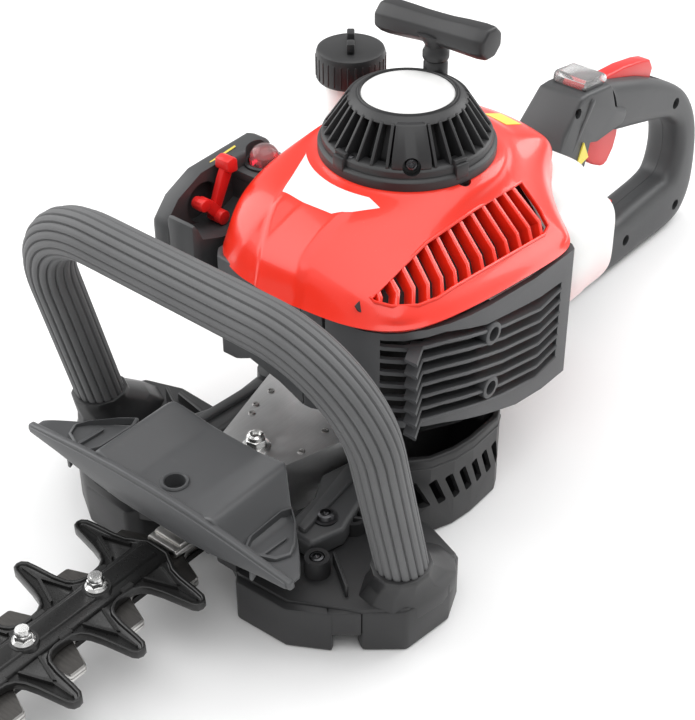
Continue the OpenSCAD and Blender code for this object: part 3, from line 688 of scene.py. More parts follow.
def raiseLabelPanel(thing):
    # the label panel stands above the skin on both sides of it
    moves = []
    for vert in thing.data.vertices:
        x, y = vert.co.x / toMetres, vert.co.y / toMetres
        rise = coverStep["rise"] * soft(x, coverStep["fadeFrom"], coverStep["fadeTo"])
        for line in coverSteps:
            rise *= soft(leftOf(x, y, line), -coverStep["soft"], coverStep["soft"])
        moves.append(vert.co + vert.normal * (rise * toMetres))
    for vert, spot in zip(thing.data.vertices, moves):
        vert.co = spot


def makeCover():
    thing = asObject("redCover", [coverSkin()])
    smooth = thing.modifiers.new("smooth", "SUBSURF")
    smooth.levels = smooth.render_levels = 3
    settle(thing)
    raiseLabelPanel(thing)
    find = skinFinder(thing)
    rim = [find(x, y) for x, y in vent["rim"]]
    wall = thing.modifiers.new("wall", "SOLIDIFY")
    wall.thickness, wall.offset = cover["wall"] * toMetres, -1
    settle(thing)
    well = [rod((15, 54, 190), (10, 49, 212), 5, sides=28), rod((11, 49, 190), (6, 46, 212), 3.4, sides=28)]
    carve(thing, [flatPrism(rim, vent["out"], -16, 14)] + well)
    finish(thing, "frame", red, ["engine_cover"])
    piece("ventFins", ventFins(find) + [bead(rim, vent["lip"])], "frame", red)
    piece("ventLiner", [flatPrism(rim, vent["out"], -vent["depth"] - 1, -vent["depth"], 1.12)], "frame",
          blackPlastic)
    piece("coverScrew", torxScrew((13, 52, 197.5), 4.2, 3, (0.15, 0.25, 1)), "frame", darkScrew)
    drapedLabel("typeLabel", [(41, -43.6), (83, -26), (82.5, 11), (61, 29)], find, whiteSticker)
    drapedLabel("warningLabel", [(-88, 6), (-72, 4), (-72, 22), (-86, 24)], find, yellowSticker)


def label(name, corners, material, thick=0.35):
    # thin printed label laid on the skin through its corners
    a, b, c = (Vector(p) for p in corners[:3])
    up = (b - a).cross(c - a).normalized()
    up = up if up.z > 0 else -up
    return piece(name, [prism([Vector(p) - up * 0.8 for p in corners], up * (0.8 + thick))], "frame",
                 material)


def drapedLabel(name, corners, find, material, cells=14, lift=0.25):
    # a four-cornered label in plan, laid down onto the skin below it
    a, b, c, d = (Vector(p) for p in corners)
    rows = []
    for i in range(cells + 1):
        row = []
        for j in range(cells + 1):
            s, t = i / cells, j / cells
            x, y = (a * (1 - s) + b * s) * (1 - t) + (d * (1 - s) + c * s) * t
            # the label's inner side follows the round seat of the starter
            clear = max(1, (cover["footR"] + 1) / (x * x + y * y) ** 0.5)
            row.append(find(x * clear, y * clear, lift))
        rows.append(row)
    sheet = loft(rows, closed=False)
    for face in sheet.faces:
        if face.normal.z < 0:
            face.normal_flip()
    thing = asObject(name, [sheet])
    wall = thing.modifiers.new("wall", "SOLIDIFY")
    wall.thickness, wall.offset = 0.5 * toMetres, -1
    settle(thing)
    return finish(thing, "frame", material)


makeCover()
print("cover: done")


# recoil starter

starter = {"badgeR": 28, "fins": 8, "finStep": 11, "firstFin": -52, "archAt": 41.5}
pullAt = (-35.5, -7)


def makeStarter():
    cone = [(50.6, 219), (47.5, 223.5), (36.5, 240.5), (32, 240.5), (43.5, 223), (45, 219)]
    ringOuter, ringInner = starter["badgeR"] + 4.5, starter["badgeR"] + 0.25
    parts = [lathe([(43, 206), (53.4, 206), (54, 206.8), (54, 212), (53.2, 213), (51.6, 213.6), (51.6, 217.6),
                    (50.8, 218.6), (49.5, 219.3), (43, 219.3)], sides=96),
             lathe([(0, 214), (39, 214), (39, 219), (28, 239), (0, 239)]),
             roundEdges(lathe([(ringInner, 243), (ringInner, 241.2), (0, 241.2), (0, 237), (31, 237),
                               (36.2, 239.4),
                               (ringOuter, 242), (ringOuter - 1.6, 243)], sides=96), 0.4, 2, 25),
             lathe([(ringInner, 243), (ringInner + 0.5, 243.8), (ringInner + 1.4, 243.8),
                    (ringInner + 1.9, 243)],
                   sides=96)]
    parts.append(roundEdges(lathe(cone, sweep=158, first=141, sides=96), 0.5, 2, 50))
    parts.append(roundEdges(lathe([(50.8, 219), (49.5, 225), (37.5, 241), (32, 241), (42, 223), (43, 219)],
                                  sweep=27, first=28, sides=96), 0.8, 2, 50))
    for sector in (0, 110):
        for i in range(starter["fins"]):
            fin = slab("xz", [(38, 217.5), (50, 217.5), (50.3, 220), (47.8, 223.6), (36.4, 240.3),
                              (30, 240.3)],
                       -0.95, 0.95, 0.35)
            parts.append(place(fin, starter["firstFin"] + sector + i * starter["finStep"]))
    for angle in (75, -10):
        tab = [box((45, -4.5, 210), (54.4, 4.5, 219.5), 1), box((49, -4.5, 217), (52.5, 4.5, 222), 0.8)]
        parts += [place(t, angle) for t in tab]
    # rope boss with its guide ring
    x, y = pullAt
    parts.append(lathe([(3.2, 228), (7.5, 228), (7.5, 246.5), (6.6, 248.4), (5, 249), (3.6, 248.2),
                        (3.2, 246.5)],
                       x, y, sides=40))
    thing = asObject("starterHousing", parts)
    niche = place(rod((45.5, 0, 219.8), (60, 0, 223), 5.4, sides=28), starter["archAt"])
    carve(thing, [niche])
    finish(thing, "frame", blackPlastic, ["starter_housing"])
    angle = radians(starter["archAt"])
    screws = torxScrew((45.6 * cos(angle), 45.6 * sin(angle), 220.6), 3.8, 3, (cos(angle), sin(angle), 0.35))
    for at in (75, -10, -58):
        turn = radians(at + 6)
        screws += torxScrew((48.4 * cos(turn), 48.4 * sin(turn), 218.4), 2.3, 1.6)
    piece("starterScrews", screws, "frame", darkScrew)
    r = starter["badgeR"]
    piece("starterBadge", [lathe([(0, 244), (r - 11, 243.9), (r - 3, 243.6), (r - 0.7, 243.2), (r, 242.6),
                                  (r, 241.4),
                                  (0, 241.4)], sides=96)], "frame", whiteSticker,
                                  ["starter_badge"])


# across the grip bar: side position, height of its middle and radius
gripStations = ((-48, 266, 8.8), (-46.6, 266.1, 10.4), (-40, 266.5, 10.9), (-28, 267.2, 10.5),
                (-17, 267.9, 9.9),
                (-7, 268.4, 9.8), (3, 268.9, 9.9), (14, 269.6, 10.5), (26, 270.2, 10.9), (32.6, 270.6, 10.4),
                (34, 270.7, 8.8))
ropeSpan = {"low": 214, "high": 258, "r": 1.9, "rings": 48}


def makePullGrip():
    x, y = pullAt
    rings = []
    for side, height, r in gripStations:
        rings.append([(x + r * 1.04 * cos(2 * pi * (i + 0.5) / 8), side,
                       height + r * sin(2 * pi * (i + 0.5) / 8))
                      for i in range(8)])
    neck = lathe([(2.3, 249.4), (7.8, 249.4), (8.2, 250.4), (8.2, 254), (7.2, 256), (6.8, 258), (8, 260.4),
                  (10, 263),
                  (12.2, 267), (4, 269), (2.3, 266)], x, y, sides=40)
    piece("pullGrip", [roundEdges(loft(rings, caps=True), 1.1, 2, 25), neck], "pull_grip",
          blackPlastic, ["starter_grip"])
    # the rope in short rings, so that it can draw out from the housing
    low, high, r = ropeSpan["low"], ropeSpan["high"], ropeSpan["r"]
    rope = lathe([(0, low), (r, low), (r, high + 5), (0, high + 5)], x, y, sides=16)
    for i in range(1, ropeSpan["rings"]):
        bmesh.ops.bisect_plane(rope, geom=list(rope.verts) + list(rope.edges) + list(rope.faces),
                               plane_co=(0, 0, low + (high + 5 - low) * i / ropeSpan["rings"]),
                               plane_no=(0, 0, 1))
    thing = asObject("starterRope", [rope])
    shadeByAngle(thing)
    thing.data.materials.append(ropeFibre)
    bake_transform(thing)
    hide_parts("starter_rope")


makeStarter()
makePullGrip()
print("starter: done")


# muffler side

cowl = {"pitch": 8.7, "gaps": 6, "low": 54, "high": 166, "tubes": (96, 135.5), "tubeX": 41, "tubeR": 6.6,
        "plan": [(118.6, 36), (119.5, 50), (117, 64), (112, 74), (104.5, 82.5), (92, 89.5), (78, 94),
                 (62, 96.7),
                 (45, 97.8), (-42, 97.8), (-46, 93), (-46, 84)],
        "inside": [(-42, 88), (-40, 94.2), (44, 94.2), (61, 93), (77, 90.4), (90, 86.3), (102, 80),
                   (109, 72.2),
                   (113.4, 63), (115.8, 49.6), (114.8, 36)],
        "slatLine": [(113, 153.5), (95, 150.8), (80, 149.2), (55, 142.4), (30, 134.6), (-8, 126),
                     (-30, 129.4)]}


def slatBar(drop):
    # the rounded outer edge of one slat, following the slat line round the front corner
    spots = []
    for x, z in cowl["slatLine"]:
        y = 97.6
        for a, b in zip(cowl["plan"], cowl["plan"][1:]):
            if min(a[0], b[0]) <= x <= max(a[0], b[0]) and min(a[1], b[1]) > 70:
                y = a[1] + (b[1] - a[1]) * (x - a[0]) / (b[0] - a[0])
        spots.append(Vector((x, y, z - drop)))
    rings = [[p + Vector((0, dy, dz)) for dy, dz in ((-8, -0.9), (0.3, -1.1), (1, -0.5), (1, 0.5),
                                                     (0.3, 1.1), (-8, 0.9))]
             for p in spots]
    return loft(rings, caps=True)


def makeMufflerCowl():
    thing = asObject("mufflerCowl", [slab("xy", cowl["plan"] + cowl["inside"], cowl["low"], cowl["high"],
                                          0.9)])
    tools = [slab("xz", [(-60, 152.5), (0, 152.5), (100, 163.5), (140, 163.5), (140, 180), (-60, 180)], 20,
                  120),
             slab("xz", [(-60, 40), (140, 40), (140, 103), (103, 96), (79, 90.5), (28, 70.7), (11, 64.5),
                         (-17, 60),
                         (-60, 60)], 20, 120),
             slab("xz", [(113, 154.8), (95, 152.1), (80, 150.5), (55, 143.7), (30, 135.9), (-8, 127.3),
                         (-30, 130.7),
                         (-30, 134.5), (-8, 135.2), (8, 137.8), (47, 145.2), (80, 156.5), (113, 159)], 66,
                         120)]
    line = cowl["slatLine"]
    for i in range(cowl["gaps"]):
        top, bottom = cowl["pitch"] * i + 1.3, cowl["pitch"] * (i + 1) - 1.3
        tools.append(slab("xz", [(x, z - top) for x, z in line] + [(x, z - bottom) for x,
                                                            z in reversed(line)], 66,
                          120))
    carve(thing, tools)
    bars = [slatBar(cowl["pitch"] * i) for i in range(cowl["gaps"] + 1)]
    slats = asObject("cowlSlats", bars + [rod((cowl["tubeX"], 84, z), (cowl["tubeX"], 99, z),
                                              cowl["tubeR"] + 0.8,
                                              sides=48, edge=0.8) for z in cowl["tubes"]])
    tubes = [rod((cowl["tubeX"], 87, z), (cowl["tubeX"], 102, z), 4.6, sides=40) for z in cowl["tubes"]]
    carve(slats, tubes)
    carve(thing, [rod((cowl["tubeX"], 80, z), (cowl["tubeX"], 104, z), cowl["tubeR"],
                      sides=48) for z in cowl["tubes"]])
    finish(thing, "frame", cowlPlastic, ["muffler_cover"])
    finish(slats, "frame", cowlPlastic)
    screws = []
    for z in cowl["tubes"]:
        screws += torxScrew((cowl["tubeX"], 87.5, z), 3.6, 2.5, (0, 1, 0))
    piece("cowlScrews", screws, "frame", darkScrew)


def makeLowerCowl():
    # front wall below the cover, with its side seam and arched lower edge
    outer = [(60, -53), (112, -53), (119, -47), (121, -30), (121, 26), (118.5, 34)]
    wall = [(114.5, 34), (117, 25), (117, -29), (115.5, -45), (110, -49.5), (60, -49.5)]
    thing = asObject("lowerCowl", [slab("xy", outer + wall, 84, 168, 1.2)])
    tools = [slab("yz", [(-60, 60), (60, 60), (60, 94), (20, 92), (2, 100), (-22, 106), (-34, 100),
                         (-60, 96)], 50, 130),
             box((120.3, 20, 80), (124, 20.8, 180))]
    carve(thing, tools)
    finish(thing, "frame", cowlPlastic, ["lower_cowl"])


def makeShroud():
    body = [(10, 47), (8, 66), (9, 80), (14, 89), (24, 94), (50, 95), (66, 93), (82, 87), (94, 76),
            (99, 62), (99, 40),
            (84, 42), (72, 47)]
    inside = [(14, 50), (12, 66), (13, 79), (17, 86), (25, 90.5), (50, 91.3), (64, 89.5), (80, 84),
              (90.5, 74),
              (95, 61), (95, 44), (84, 46), (73, 51)]
    thing = asObject("lowerShroud", [slab("xy", body, 0, 60, 2.2, 3)])
    tools = [slab("xy", inside, 5, 70)]
    for i in range(7):
        slot = box((-2.7, 60, -10.5), (2.7, 100, 10.5), 1.3, 2)
        tools.append(place(place(slot, 20, "Y"), move=(24 + 10.6 * i, 0, 32)))
    tools.append(slab("xz", [(60, -5), (110, -5), (110, 14), (96, 8)], 30, 110))
    carve(thing, tools)
    ledge = [slab("xy", [(x, y + 0.5) for x, y in body], 52, 54, 0.8)]
    carve(thing, ledge, "UNION")
    carve(thing, [slab("xy", inside, 20, 70)])
    finish(thing, "frame", blackPlastic, ["lower_shroud"])
    # sloping hood from the shroud up to the crankcase, with a curved lip
    hood = [lathe([(34, 92), (48.4, 92), (48.4, 62), (34, 62)], sides=72),
            slab("xy", [(-6, 44), (-4, 62), (4, 74), (18, 80), (40, 76), (62, 64), (70, 44)], 56, 60, 1.2),
            roundEdges(loft([[(8, 44, 56), (7, 78, 56), (16, 86, 56), (30, 88, 56), (30, 44, 56)],
                             [(4, 44, 78), (2, 66, 78), (8, 76, 78), (24, 80, 78), (26, 44, 78)],
                             [(0, 44, 92), (-4, 62, 92), (4, 74, 92), (20, 78, 92), (26, 44, 92)]],
                             caps=True), 1.5, 2)]
    piece("shroudHood", hood, "frame", blackPlastic)


makeMufflerCowl()
makeLowerCowl()
makeShroud()
print("cowls: done")


# intake side

def makeAirBox():
    side = [(32, 130), (124, 128), (124, 176), (112, 189), (92, 198), (40, 200), (32, 196)]
    thing = asObject("airBox", [slab("xz", side, -97, -80, 4.5, 3), box((34, -84, 128), (124, -61, 184), 4,
                                                            2),
                                box((34, -86, 183), (66, -61, 190), 1.5)])
    tools = [slab("xz", [(66, 170), (80, 164), (100, 166), (116, 172), (122, 186), (108, 202), (66, 204)],
                  -84, -50),
             rod((92, -90, 178), (92, -60, 178), 13, sides=36),
             lathe([(0, 186), (11.5, 186), (11.5, 205), (0, 205)], 48, -73, sides=40),
             box((96, -96, 120), (126, -76, 136), 2)]
    for tool in tools:
        carve(thing, [tool])
    finish(thing, "frame", darkPlastic, ["air_box"])
    piece("primerSeat", [lathe([(9.8, 186.5), (13, 186.5), (13.4, 188), (13.2, 191.4), (12, 192.2),
                                (10.4, 191.6)],
                               48, -73, sides=48)], "frame", blackPlastic)
    label("airBoxLabel", [(62, -97.2, 190), (84, -97.2, 184), (80, -88, 198.6), (58, -88, 200.4)],
          yellowSticker)


def makePrimer():
    # clear dome with the red mix in its lower half
    dome = lathe([(0, 202), (3.4, 201.6), (6.6, 199.8), (8.8, 196.6), (9.4, 193), (9.4, 190.2), (0, 190.2)],
                 48, -73, sides=48)
    piece("primerBulb", [dome], "primer", bulbPlastic, ["primer_bulb"])
    piece("primerFuel", [lathe([(0, 195.4), (7.4, 195.4), (7.6, 193), (7.6, 190.6), (0, 190.6)], 48, -73,
                               sides=40)],
          "primer", redFuel)


def makeChoke():
    arm = [slab("xz", [(86, 172), (75, 192), (72.5, 196), (73, 202), (76, 204.6), (80, 204), (81, 198.5),
                       (84, 193),
                       (92, 175)], -80, -75, 1.2),
           slab("xz", [(72, 195), (72, 203.5), (75.5, 205.4), (81, 204.4), (81.5, 198), (78, 195.5)], -83,
                -72, 1.4),
           slab("xz", [(85.5, 168), (91, 168), (98, 177), (104, 180), (103.4, 186), (97, 186.4), (92, 182),
                       (87, 176)],
                -80, -74, 1.3),
           rod((88, -81, 170), (88, -70, 170), 4.6, sides=32, edge=0.6),
           rod((100, -82, 182.5), (100, -73, 182.5), 4, sides=28, edge=0.8)]
    piece("chokeLever", arm, "choke", redTouch, ["choke_lever"])


makeAirBox()
makePrimer()
makeChoke()
print("intake: done")


# fuel tank

fillerAt = (-40, -78)


def makeTank():
    # one blown shape: the main body behind the engine, an arm forward to the filler, and the neck
    x, y = fillerAt
    thing = asObject("fuelTank", [box((-131, -68, 60), (-62, 68, 140), 20, 6)])
    carve(thing, [box((-131, -66, 80), (-62, 81, 146), 18, 5), box((-127, -62, 110), (-65, 62, 165), 18, 5),
                  box((-96, -95, 84), (-20, -56, 152), 13, 4),
                  lathe([(0, 146), (20, 146), (18, 156), (17.2, 162), (17.2, 214), (0, 214)], x, y,
                        sides=56)], "UNION")
    remesh = thing.modifiers.new("remesh", "REMESH")
    remesh.mode, remesh.voxel_size = "VOXEL", 0.0028
    relax = thing.modifiers.new("relax", "SMOOTH")
    relax.factor, relax.iterations = 0.6, 10
    settle(thing)
    finish(thing, "frame", milkyPlastic, ["fuel_tank"])
    for poly in thing.data.polygons:
        poly.use_smooth = True


cap = {"r": 22.5, "low": 212, "high": 233, "tabTop": 240, "ribs": 30, "turn": 40}


def makeCap():
    x, y = fillerAt
    r, low, high = cap["r"], cap["low"], cap["high"]
    parts = [lathe([(17.6, low), (r - 0.8, low), (r - 0.2, low + 1), (r - 0.2, high - 3.4),
                    (r - 1, high - 1.2),
                    (r - 3.2, high), (0, high), (0, high - 4), (17.6, high - 4)], x, y, sides=96)]
    for i in range(cap["ribs"]):
        rib = box((r - 1.6, -0.6, low + 1.5), (r + 0.2, 0.6, high - 4.4), 0.3, 1)
        parts.append(place(rib, i * 360 / cap["ribs"], move=(x, y, 0)))
    for side in (-1, 1):
        tab = box((side * 8 - 4, -2.5, high - 1), (side * 8 + 4, 2.5, cap["tabTop"]), 1, 2)
        parts.append(place(tab, cap["turn"], move=(x, y, 0)))
    parts.append(place(box((-12, -2, high - 1), (12, 2, high + 2.5), 0.8, 2), cap["turn"], move=(x, y, 0)))
    piece("fuelCap", parts, "cap", blackPlastic, ["fuel_cap"])


makeTank()
makeCap()
print("fuel tank: done")


# front handle

loop = {"foot": (146, 0, 10), "lean": 13.5, "half": 124, "corner": 62, "rise": 204.66, "flutes": 18,
        "r": 15.4,
        "start": 40}


def loopTube(r, start, flutes=0, ringSides=108):
    # a round bar bent into the loop: leg, corner, top, corner, leg
    bm = bmesh.new()
    ring = bmesh.ops.create_circle(bm, segments=ringSides, radius=r)["verts"]
    if flutes:
        each = ringSides // flutes
        depth = {0: 0.0, 1: 0.15, 2: 0.35, 3: 1.5, 4: 0.35, 5: 0.15}
        for i, vert in enumerate(ring):
            vert.co *= (r - depth[i % each]) / r
    half, corner, top = loop["half"], loop["corner"], loop["rise"]
    bend = top - corner
    bmesh.ops.translate(bm, verts=ring, vec=(0, -half, start))
    edges, verts = list(bm.edges), list(ring)
    bm.faces.new(ring)

    def run(step, count):
        nonlocal edges, verts
        for _ in range(count):
            grown = bmesh.ops.extrude_edge_only(bm, edges=edges)["geom"]
            verts = [g for g in grown if isinstance(g, bmesh.types.BMVert)]
            edges = [g for g in grown if isinstance(g, bmesh.types.BMEdge)]
            bmesh.ops.translate(bm, verts=verts, vec=step)

    def bendRound(y):
        nonlocal edges, verts
        last = bmesh.ops.spin(bm, geom=verts + edges, cent=(0, y, bend), axis=(-1, 0, 0), angle=pi / 2,
                              steps=18)["geom_last"]
        verts = [g for g in last if isinstance(g, bmesh.types.BMVert)]
        edges = [g for g in last if isinstance(g, bmesh.types.BMEdge)]

    run((0, 0, (bend - start) / 4), 4)
    bendRound(-(half - corner))
    run((0, (half - corner) / 3, 0), 6)
    bendRound(half - corner)
    run((0, 0, -(bend - start) / 4), 4)
    bmesh.ops.contextual_create(bm, geom=edges)
    bmesh.ops.recalc_face_normals(bm, faces=bm.faces)
    place(bm, loop["lean"], "Y", loop["foot"])
    return bm


piece("frontGrip", [loopTube(loop["r"], loop["start"], loop["flutes"])], "frame", gripRubber,
      ["front_grip"])
piece("frontHandleTube", [loopTube(10, 12, ringSides=32)], "frame", darkPlastic,
      ["front_handle"])
print("front handle: done")


# bracket under the front handle

def collar():
    # skirt that takes the leg: wide at the plate, close round the grip at its top
    low = [(118, 104), (112, 118), (114, 130), (124, 139), (140, 142), (158, 139), (172, 131), (178, 120),
           (176, 108),
           (160, 100), (140, 98), (126, 100)]
    mid = [(128, 108), (123, 120), (126, 131), (134, 138.5), (148, 141), (162, 138), (171, 131),
           (174, 122), (171, 112),
           (162, 106), (148, 104), (136, 105)]
    lean = 0.24 * 20
    top = [(154 + lean * 0.4 + 19 * cos(a), 124 + 17.4 * sin(a)) for a in
           [radians(d) for d in (220, 190, 160, 130, 100, 70, 40, 10, -20, -50, -80, -110)]]
    rings = [[(x, y, 20) for x, y in low], [(x, y, 31) for x, y in low], [(x, y, 40) for x, y in mid],
             [(x, y, 50) for x, y in top], [(x + 0.6, y, 53.5) for x, y in top]]
    return roundEdges(loft(rings, caps=True), 1.2, 2, 28)


def bracketSide():
    plate = slab("xy", [(112, 50), (104, 70), (103, 104), (112, 130), (134, 140), (166, 136), (184, 116),
                        (204, 80),
                        (206, 44), (198, 28), (172, 26), (136, 36)], 22, 32, 1.6)
    # outer skirts drop to the ground as two feet with a notch between them
    outer = slab("xy", [(104, 104), (111, 131), (133, 141), (167, 137.5), (184, 118), (179, 110), (162, 130),
                        (136, 133), (119, 125), (112, 104)], 0, 30, 2.2)
    inner = slab("xy", [(187, 98), (195, 106), (209, 82), (211, 46), (204, 40), (184, 40), (184, 60),
                        (190, 62),
                        (190, 80)], 0, 30, 2.2)
    web = slab("xy", [(176, 112), (184, 118), (197, 102), (190, 94)], 12, 30, 1.6)
    ridge = slab("xy", [(116, 60), (110, 98), (114, 98), (120, 62)], 30, 37, 1.2)
    gusset = [place(box((-1.2, -22, 30), (1.2, 22, 42), 0.8), 28, move=(128, 84, 0)),
              place(box((-1, -15, 30), (1, 15, 40), 0.8), -35, move=(172, 92, 0))]
    boss = [lathe([(0, 30), (9, 30), (8.4, 39), (5.6, 39), (5.6, 36), (0, 36)], 150, 62, sides=40),
            lathe([(4.4, 30), (8.6, 30), (8, 41), (5.2, 41), (4.4, 39)], 134, 70, sides=40),
            lathe([(0, 30), (8, 30), (7.4, 44), (4.6, 44), (4.6, 41), (0, 41)], 176, 78, sides=40),
            box((134, 60, 30), (150, 68, 37), 1.4)]
    riser = [slab("xz", [(172, 30), (206, 30), (206, 56), (200, 62), (176, 62)], 26, 42, 1.6)]
    return [plate, outer, inner, web, ridge, collar()] + gusset + boss + riser


def makeBracket():
    left = bracketSide()
    parts = left + [mirrored(p) for p in left]
    parts.append(box((178, -28, 50.5), (200, 28, 60), 1.5))
    piece("baseBracket", parts, "frame", blackPlastic, ["base_bracket"])


def makeArms():
    leftSide = slab("xy", [(100, 39), (100, 58), (126, 68), (150, 76), (172, 70), (172, 48), (140, 44),
                           (122, 34)],
                    32, 46, 3, 3)
    right = slab("xy", [(62, -47), (58, -56), (66, -64), (92, -62), (120, -64), (150, -76), (172, -70),
                        (172, -48),
                        (146, -44), (120, -42), (78, -46.6)], 32, 46, 3, 3)
    ribs = [slab("xy", [(106, 42), (104, 52), (168, 62), (168, 56)], 45, 49.5, 1.4),
            slab("xy", [(80, -50), (80, -57), (168, -62), (168, -56)], 45, 49.5, 1.4)]
    pads = [lathe([(0, 40), (11, 40), (10.5, 50), (6, 51), (6, 48), (0, 48)], 66, -56, sides=40)]
    piece("sideArms", [leftSide, right] + ribs + pads, "frame", darkPlastic, ["side_arms"])


guard = {"front": 226, "thick": 3.6, "lip": 5.5}


def makeGuard():
    # columns across the guard: side position, height, rear end and a drop towards the rear
    columns = [(-104, 77.5, 219, 0), (-90, 74.5, 203, 1), (-76, 72, 190, 2), (-66, 70.5, 180, 2),
               (-60, 70.5, 176, 2),
               (-48.5, 87, 166, 0), (-45, 88.6, 164, 0), (-41, 87, 162, 0), (-22, 79.4, 158, 0),
               (-18, 79, 158, 0),
               (0, 79, 158, 0), (18, 79, 158, 0), (22, 79.4, 158, 0), (41, 87, 162, 0), (45, 88.6, 164, 0),
               (48.5, 87, 166, 0), (60, 70.5, 176, 2), (66, 70.5, 180, 2), (76, 72, 190, 2),
               (90, 74.5, 203, 1),
               (104, 77.5, 219, 0)]
    rings = []
    for share in (0, 0.05, 0.3, 0.65, 0.95, 1):
        rings.append([(rear + (guard["front"] - rear) * share, y, z - drop * (1 - share)) for y, z, rear,
                      drop in
                      columns])
    sheet = loft(rings, closed=False)
    for face in sheet.faces:
        if face.normal.z < 0:
            face.normal_flip()
    thing = asObject("frontGuard", [sheet])
    wall = thing.modifiers.new("wall", "SOLIDIFY")
    wall.thickness, wall.offset = guard["thick"] * toMetres, -1
    soft = thing.modifiers.new("smooth", "SUBSURF")
    soft.levels = soft.render_levels = 2
    settle(thing)
    carve(thing, [rod((209, 0, 60), (209, 0, 90), 6.6, sides=40)])
    finish(thing, "frame", guardPlastic, ["front_guard"])
    lip = [(-106, 74), (-105, 79), (-84, 81.5), (-60, 84.5), (-30, 87), (0, 87.8), (30, 87), (60, 84.5),
           (84, 81.5),
           (105, 79), (106, 74), (84, 70.5), (66, 67.5), (48, 64.5), (28, 62), (-28, 62), (-48, 64.5),
           (-66, 67.5),
           (-84, 70.5)]
    band = [(y * 0.975, 76 + (z - 76) * 0.72) for y, z in lip]
    parts = [slab("yz", lip, 224, 228.5, 1.3, 3), slab("yz", band, 227.5, 229.6, 0.8, 2)]
    # gussets below the lip and the raised rims of the pockets
    for y in (-74, -40, 40, 74):
        parts.append(slab("xz", [(196, 72), (226, 74), (226, 60), (220, 56 if abs(y) < 50 else 64)],
                          y - 1.3, y + 1.3,
                          0.6))
    for side in (-1, 1):
        rim = [(178, 62), (184, 59), (212, 60), (220, 64), (221, 72), (216, 84), (208, 88), (200, 84),
               (186, 72)]
        outer = [(x, side * y) for x, y in rim]
        inner = [(200 + (x - 200) * 0.9, side * (72 + (y - 72) * 0.88)) for x, y in rim]
        tall = roundEdges(slab("xy", outer, 70, 75.2), 1.2, 2)
        rimThing = asObject("rim", [tall])
        carve(rimThing, [slab("xy", inner, 60, 90)])
        bm = bmesh.new()
        bm.from_mesh(rimThing.data)
        bmesh.ops.scale(bm, verts=bm.verts, vec=(1 / toMetres,) * 3)
        bpy.data.objects.remove(rimThing)
        parts.append(bm)
    # screw recess wall in the middle channel and the seat under it
    parts.append(lathe([(6.2, 66), (8.6, 66), (8.6, 79.6), (7.9, 80.4), (6.9, 80.4), (6.2, 79.6)], 209, 0,
                       sides=48))
    parts.append(lathe([(0, 64), (8.4, 64), (8.4, 68), (0, 68)], 209, 0, sides=40))
    parts.append(box((180, -34, 58), (220, 34, 70), 3, 2))
    piece("guardTrim", parts, "frame", guardPlastic)
    piece("guardScrew", torxScrew((209, 0, 68), 5.4, 3.5), "frame", darkScrew)


def makeFrameScrews():
    parts = []
    for side in (-1, 1):
        parts += torxScrew((188, side * 39, 62), 5.6, 4.5)
        parts += [lathe([(0, 61.5), (8.4, 61.5), (8.4, 63), (0, 63)], 188, side * 39, sides=40)]
        parts += torxScrew((150, side * 62, 46), 5.4, 4.5)
        parts += torxScrew((176, side * 78, 41), 4.4, 3.6)
        parts += [lathe([(0, 46), (7.4, 46), (7.4, 47.2), (0, 47.2)], 150, side * 62, sides=40)]
    piece("bracketScrews", parts, "frame", darkScrew)
    stud = [lathe([(0, 62), (9, 62), (9, 63), (6.6, 64.2), (0, 64.2)], 142, 0, sides=40),
            place(rod((0, 0, 63), (0, 0, 69), 6.6, sides=6, edge=0.5), 15, move=(142, 0, 0)),
            lathe([(0, 68), (5.2, 68), (5, 71.4), (3.4, 72.4), (3.2, 70.6), (0, 70.6)], 142, 0, sides=32)]
    under = []
    for x, y in ((-30, 36), (82, 34), (142, 18)):
        for side in (-1, 1):
            under += [lathe([(0, 12), (3.6, 12), (3.6, 9.4), (2.8, 8.4), (0, 8.4)], x, side * y, sides=24)]
    piece("caseNut", stud + under, "frame", brightZinc, ["frame_screws"])
    pips = []
    for x, y in ((152, 14), (156, -9), (128, 24), (120, -24), (112, -28), (104, 22), (96, -30), (150, -14)):
        pips.append(lathe([(0, 61.8), (2.3, 61.8), (2.3, 62.5), (1.6, 62.7), (1.3, 62.2), (0, 62.2)], x, y,
                          sides=20))
    piece("plateRivets", pips, "frame", workedSteel)


makeBracket()
makeArms()
makeGuard()
makeFrameScrews()
frame["nodes"]["gear_case"].data.materials[0] = brushedPlate
print("bracket and guard: done")


# blades and comb

blades = {"spikes": 12, "pitch": 46, "firstX": 243, "combZ": 36.4, "end": 775, "bolts": 10, "boltX": 274,
          "boltPitch": 53, "teeth": 13, "toothX": 218, "toothPitch": 43}


def combOutline():
    bite = [(-12, 17), (-10, 20), (-8.2, 28), (-6.6, 42), (-5.6, 48), (-3.4, 51.2), (-0.4, 52), (2.6, 51),
            (4.4, 48),
            (5.4, 43), (8.2, 29), (10.4, 21.5), (13, 17), (17, 14.6), (21, 14), (27, 14), (31, 15)]
    side = [(blades["firstX"] + i * blades["pitch"] + x, y) for i in range(blades["spikes"]) for x,
            y in bite][:-2]
    end = blades["end"]
    return ([(226, 8), (229, 13)] + side + [(end, 13), (end + 7, 7)]
            + [(end + 7, -7), (end, -13)] + [(x, -y) for x, y in reversed(side)] + [(229, -13), (226, -8)])


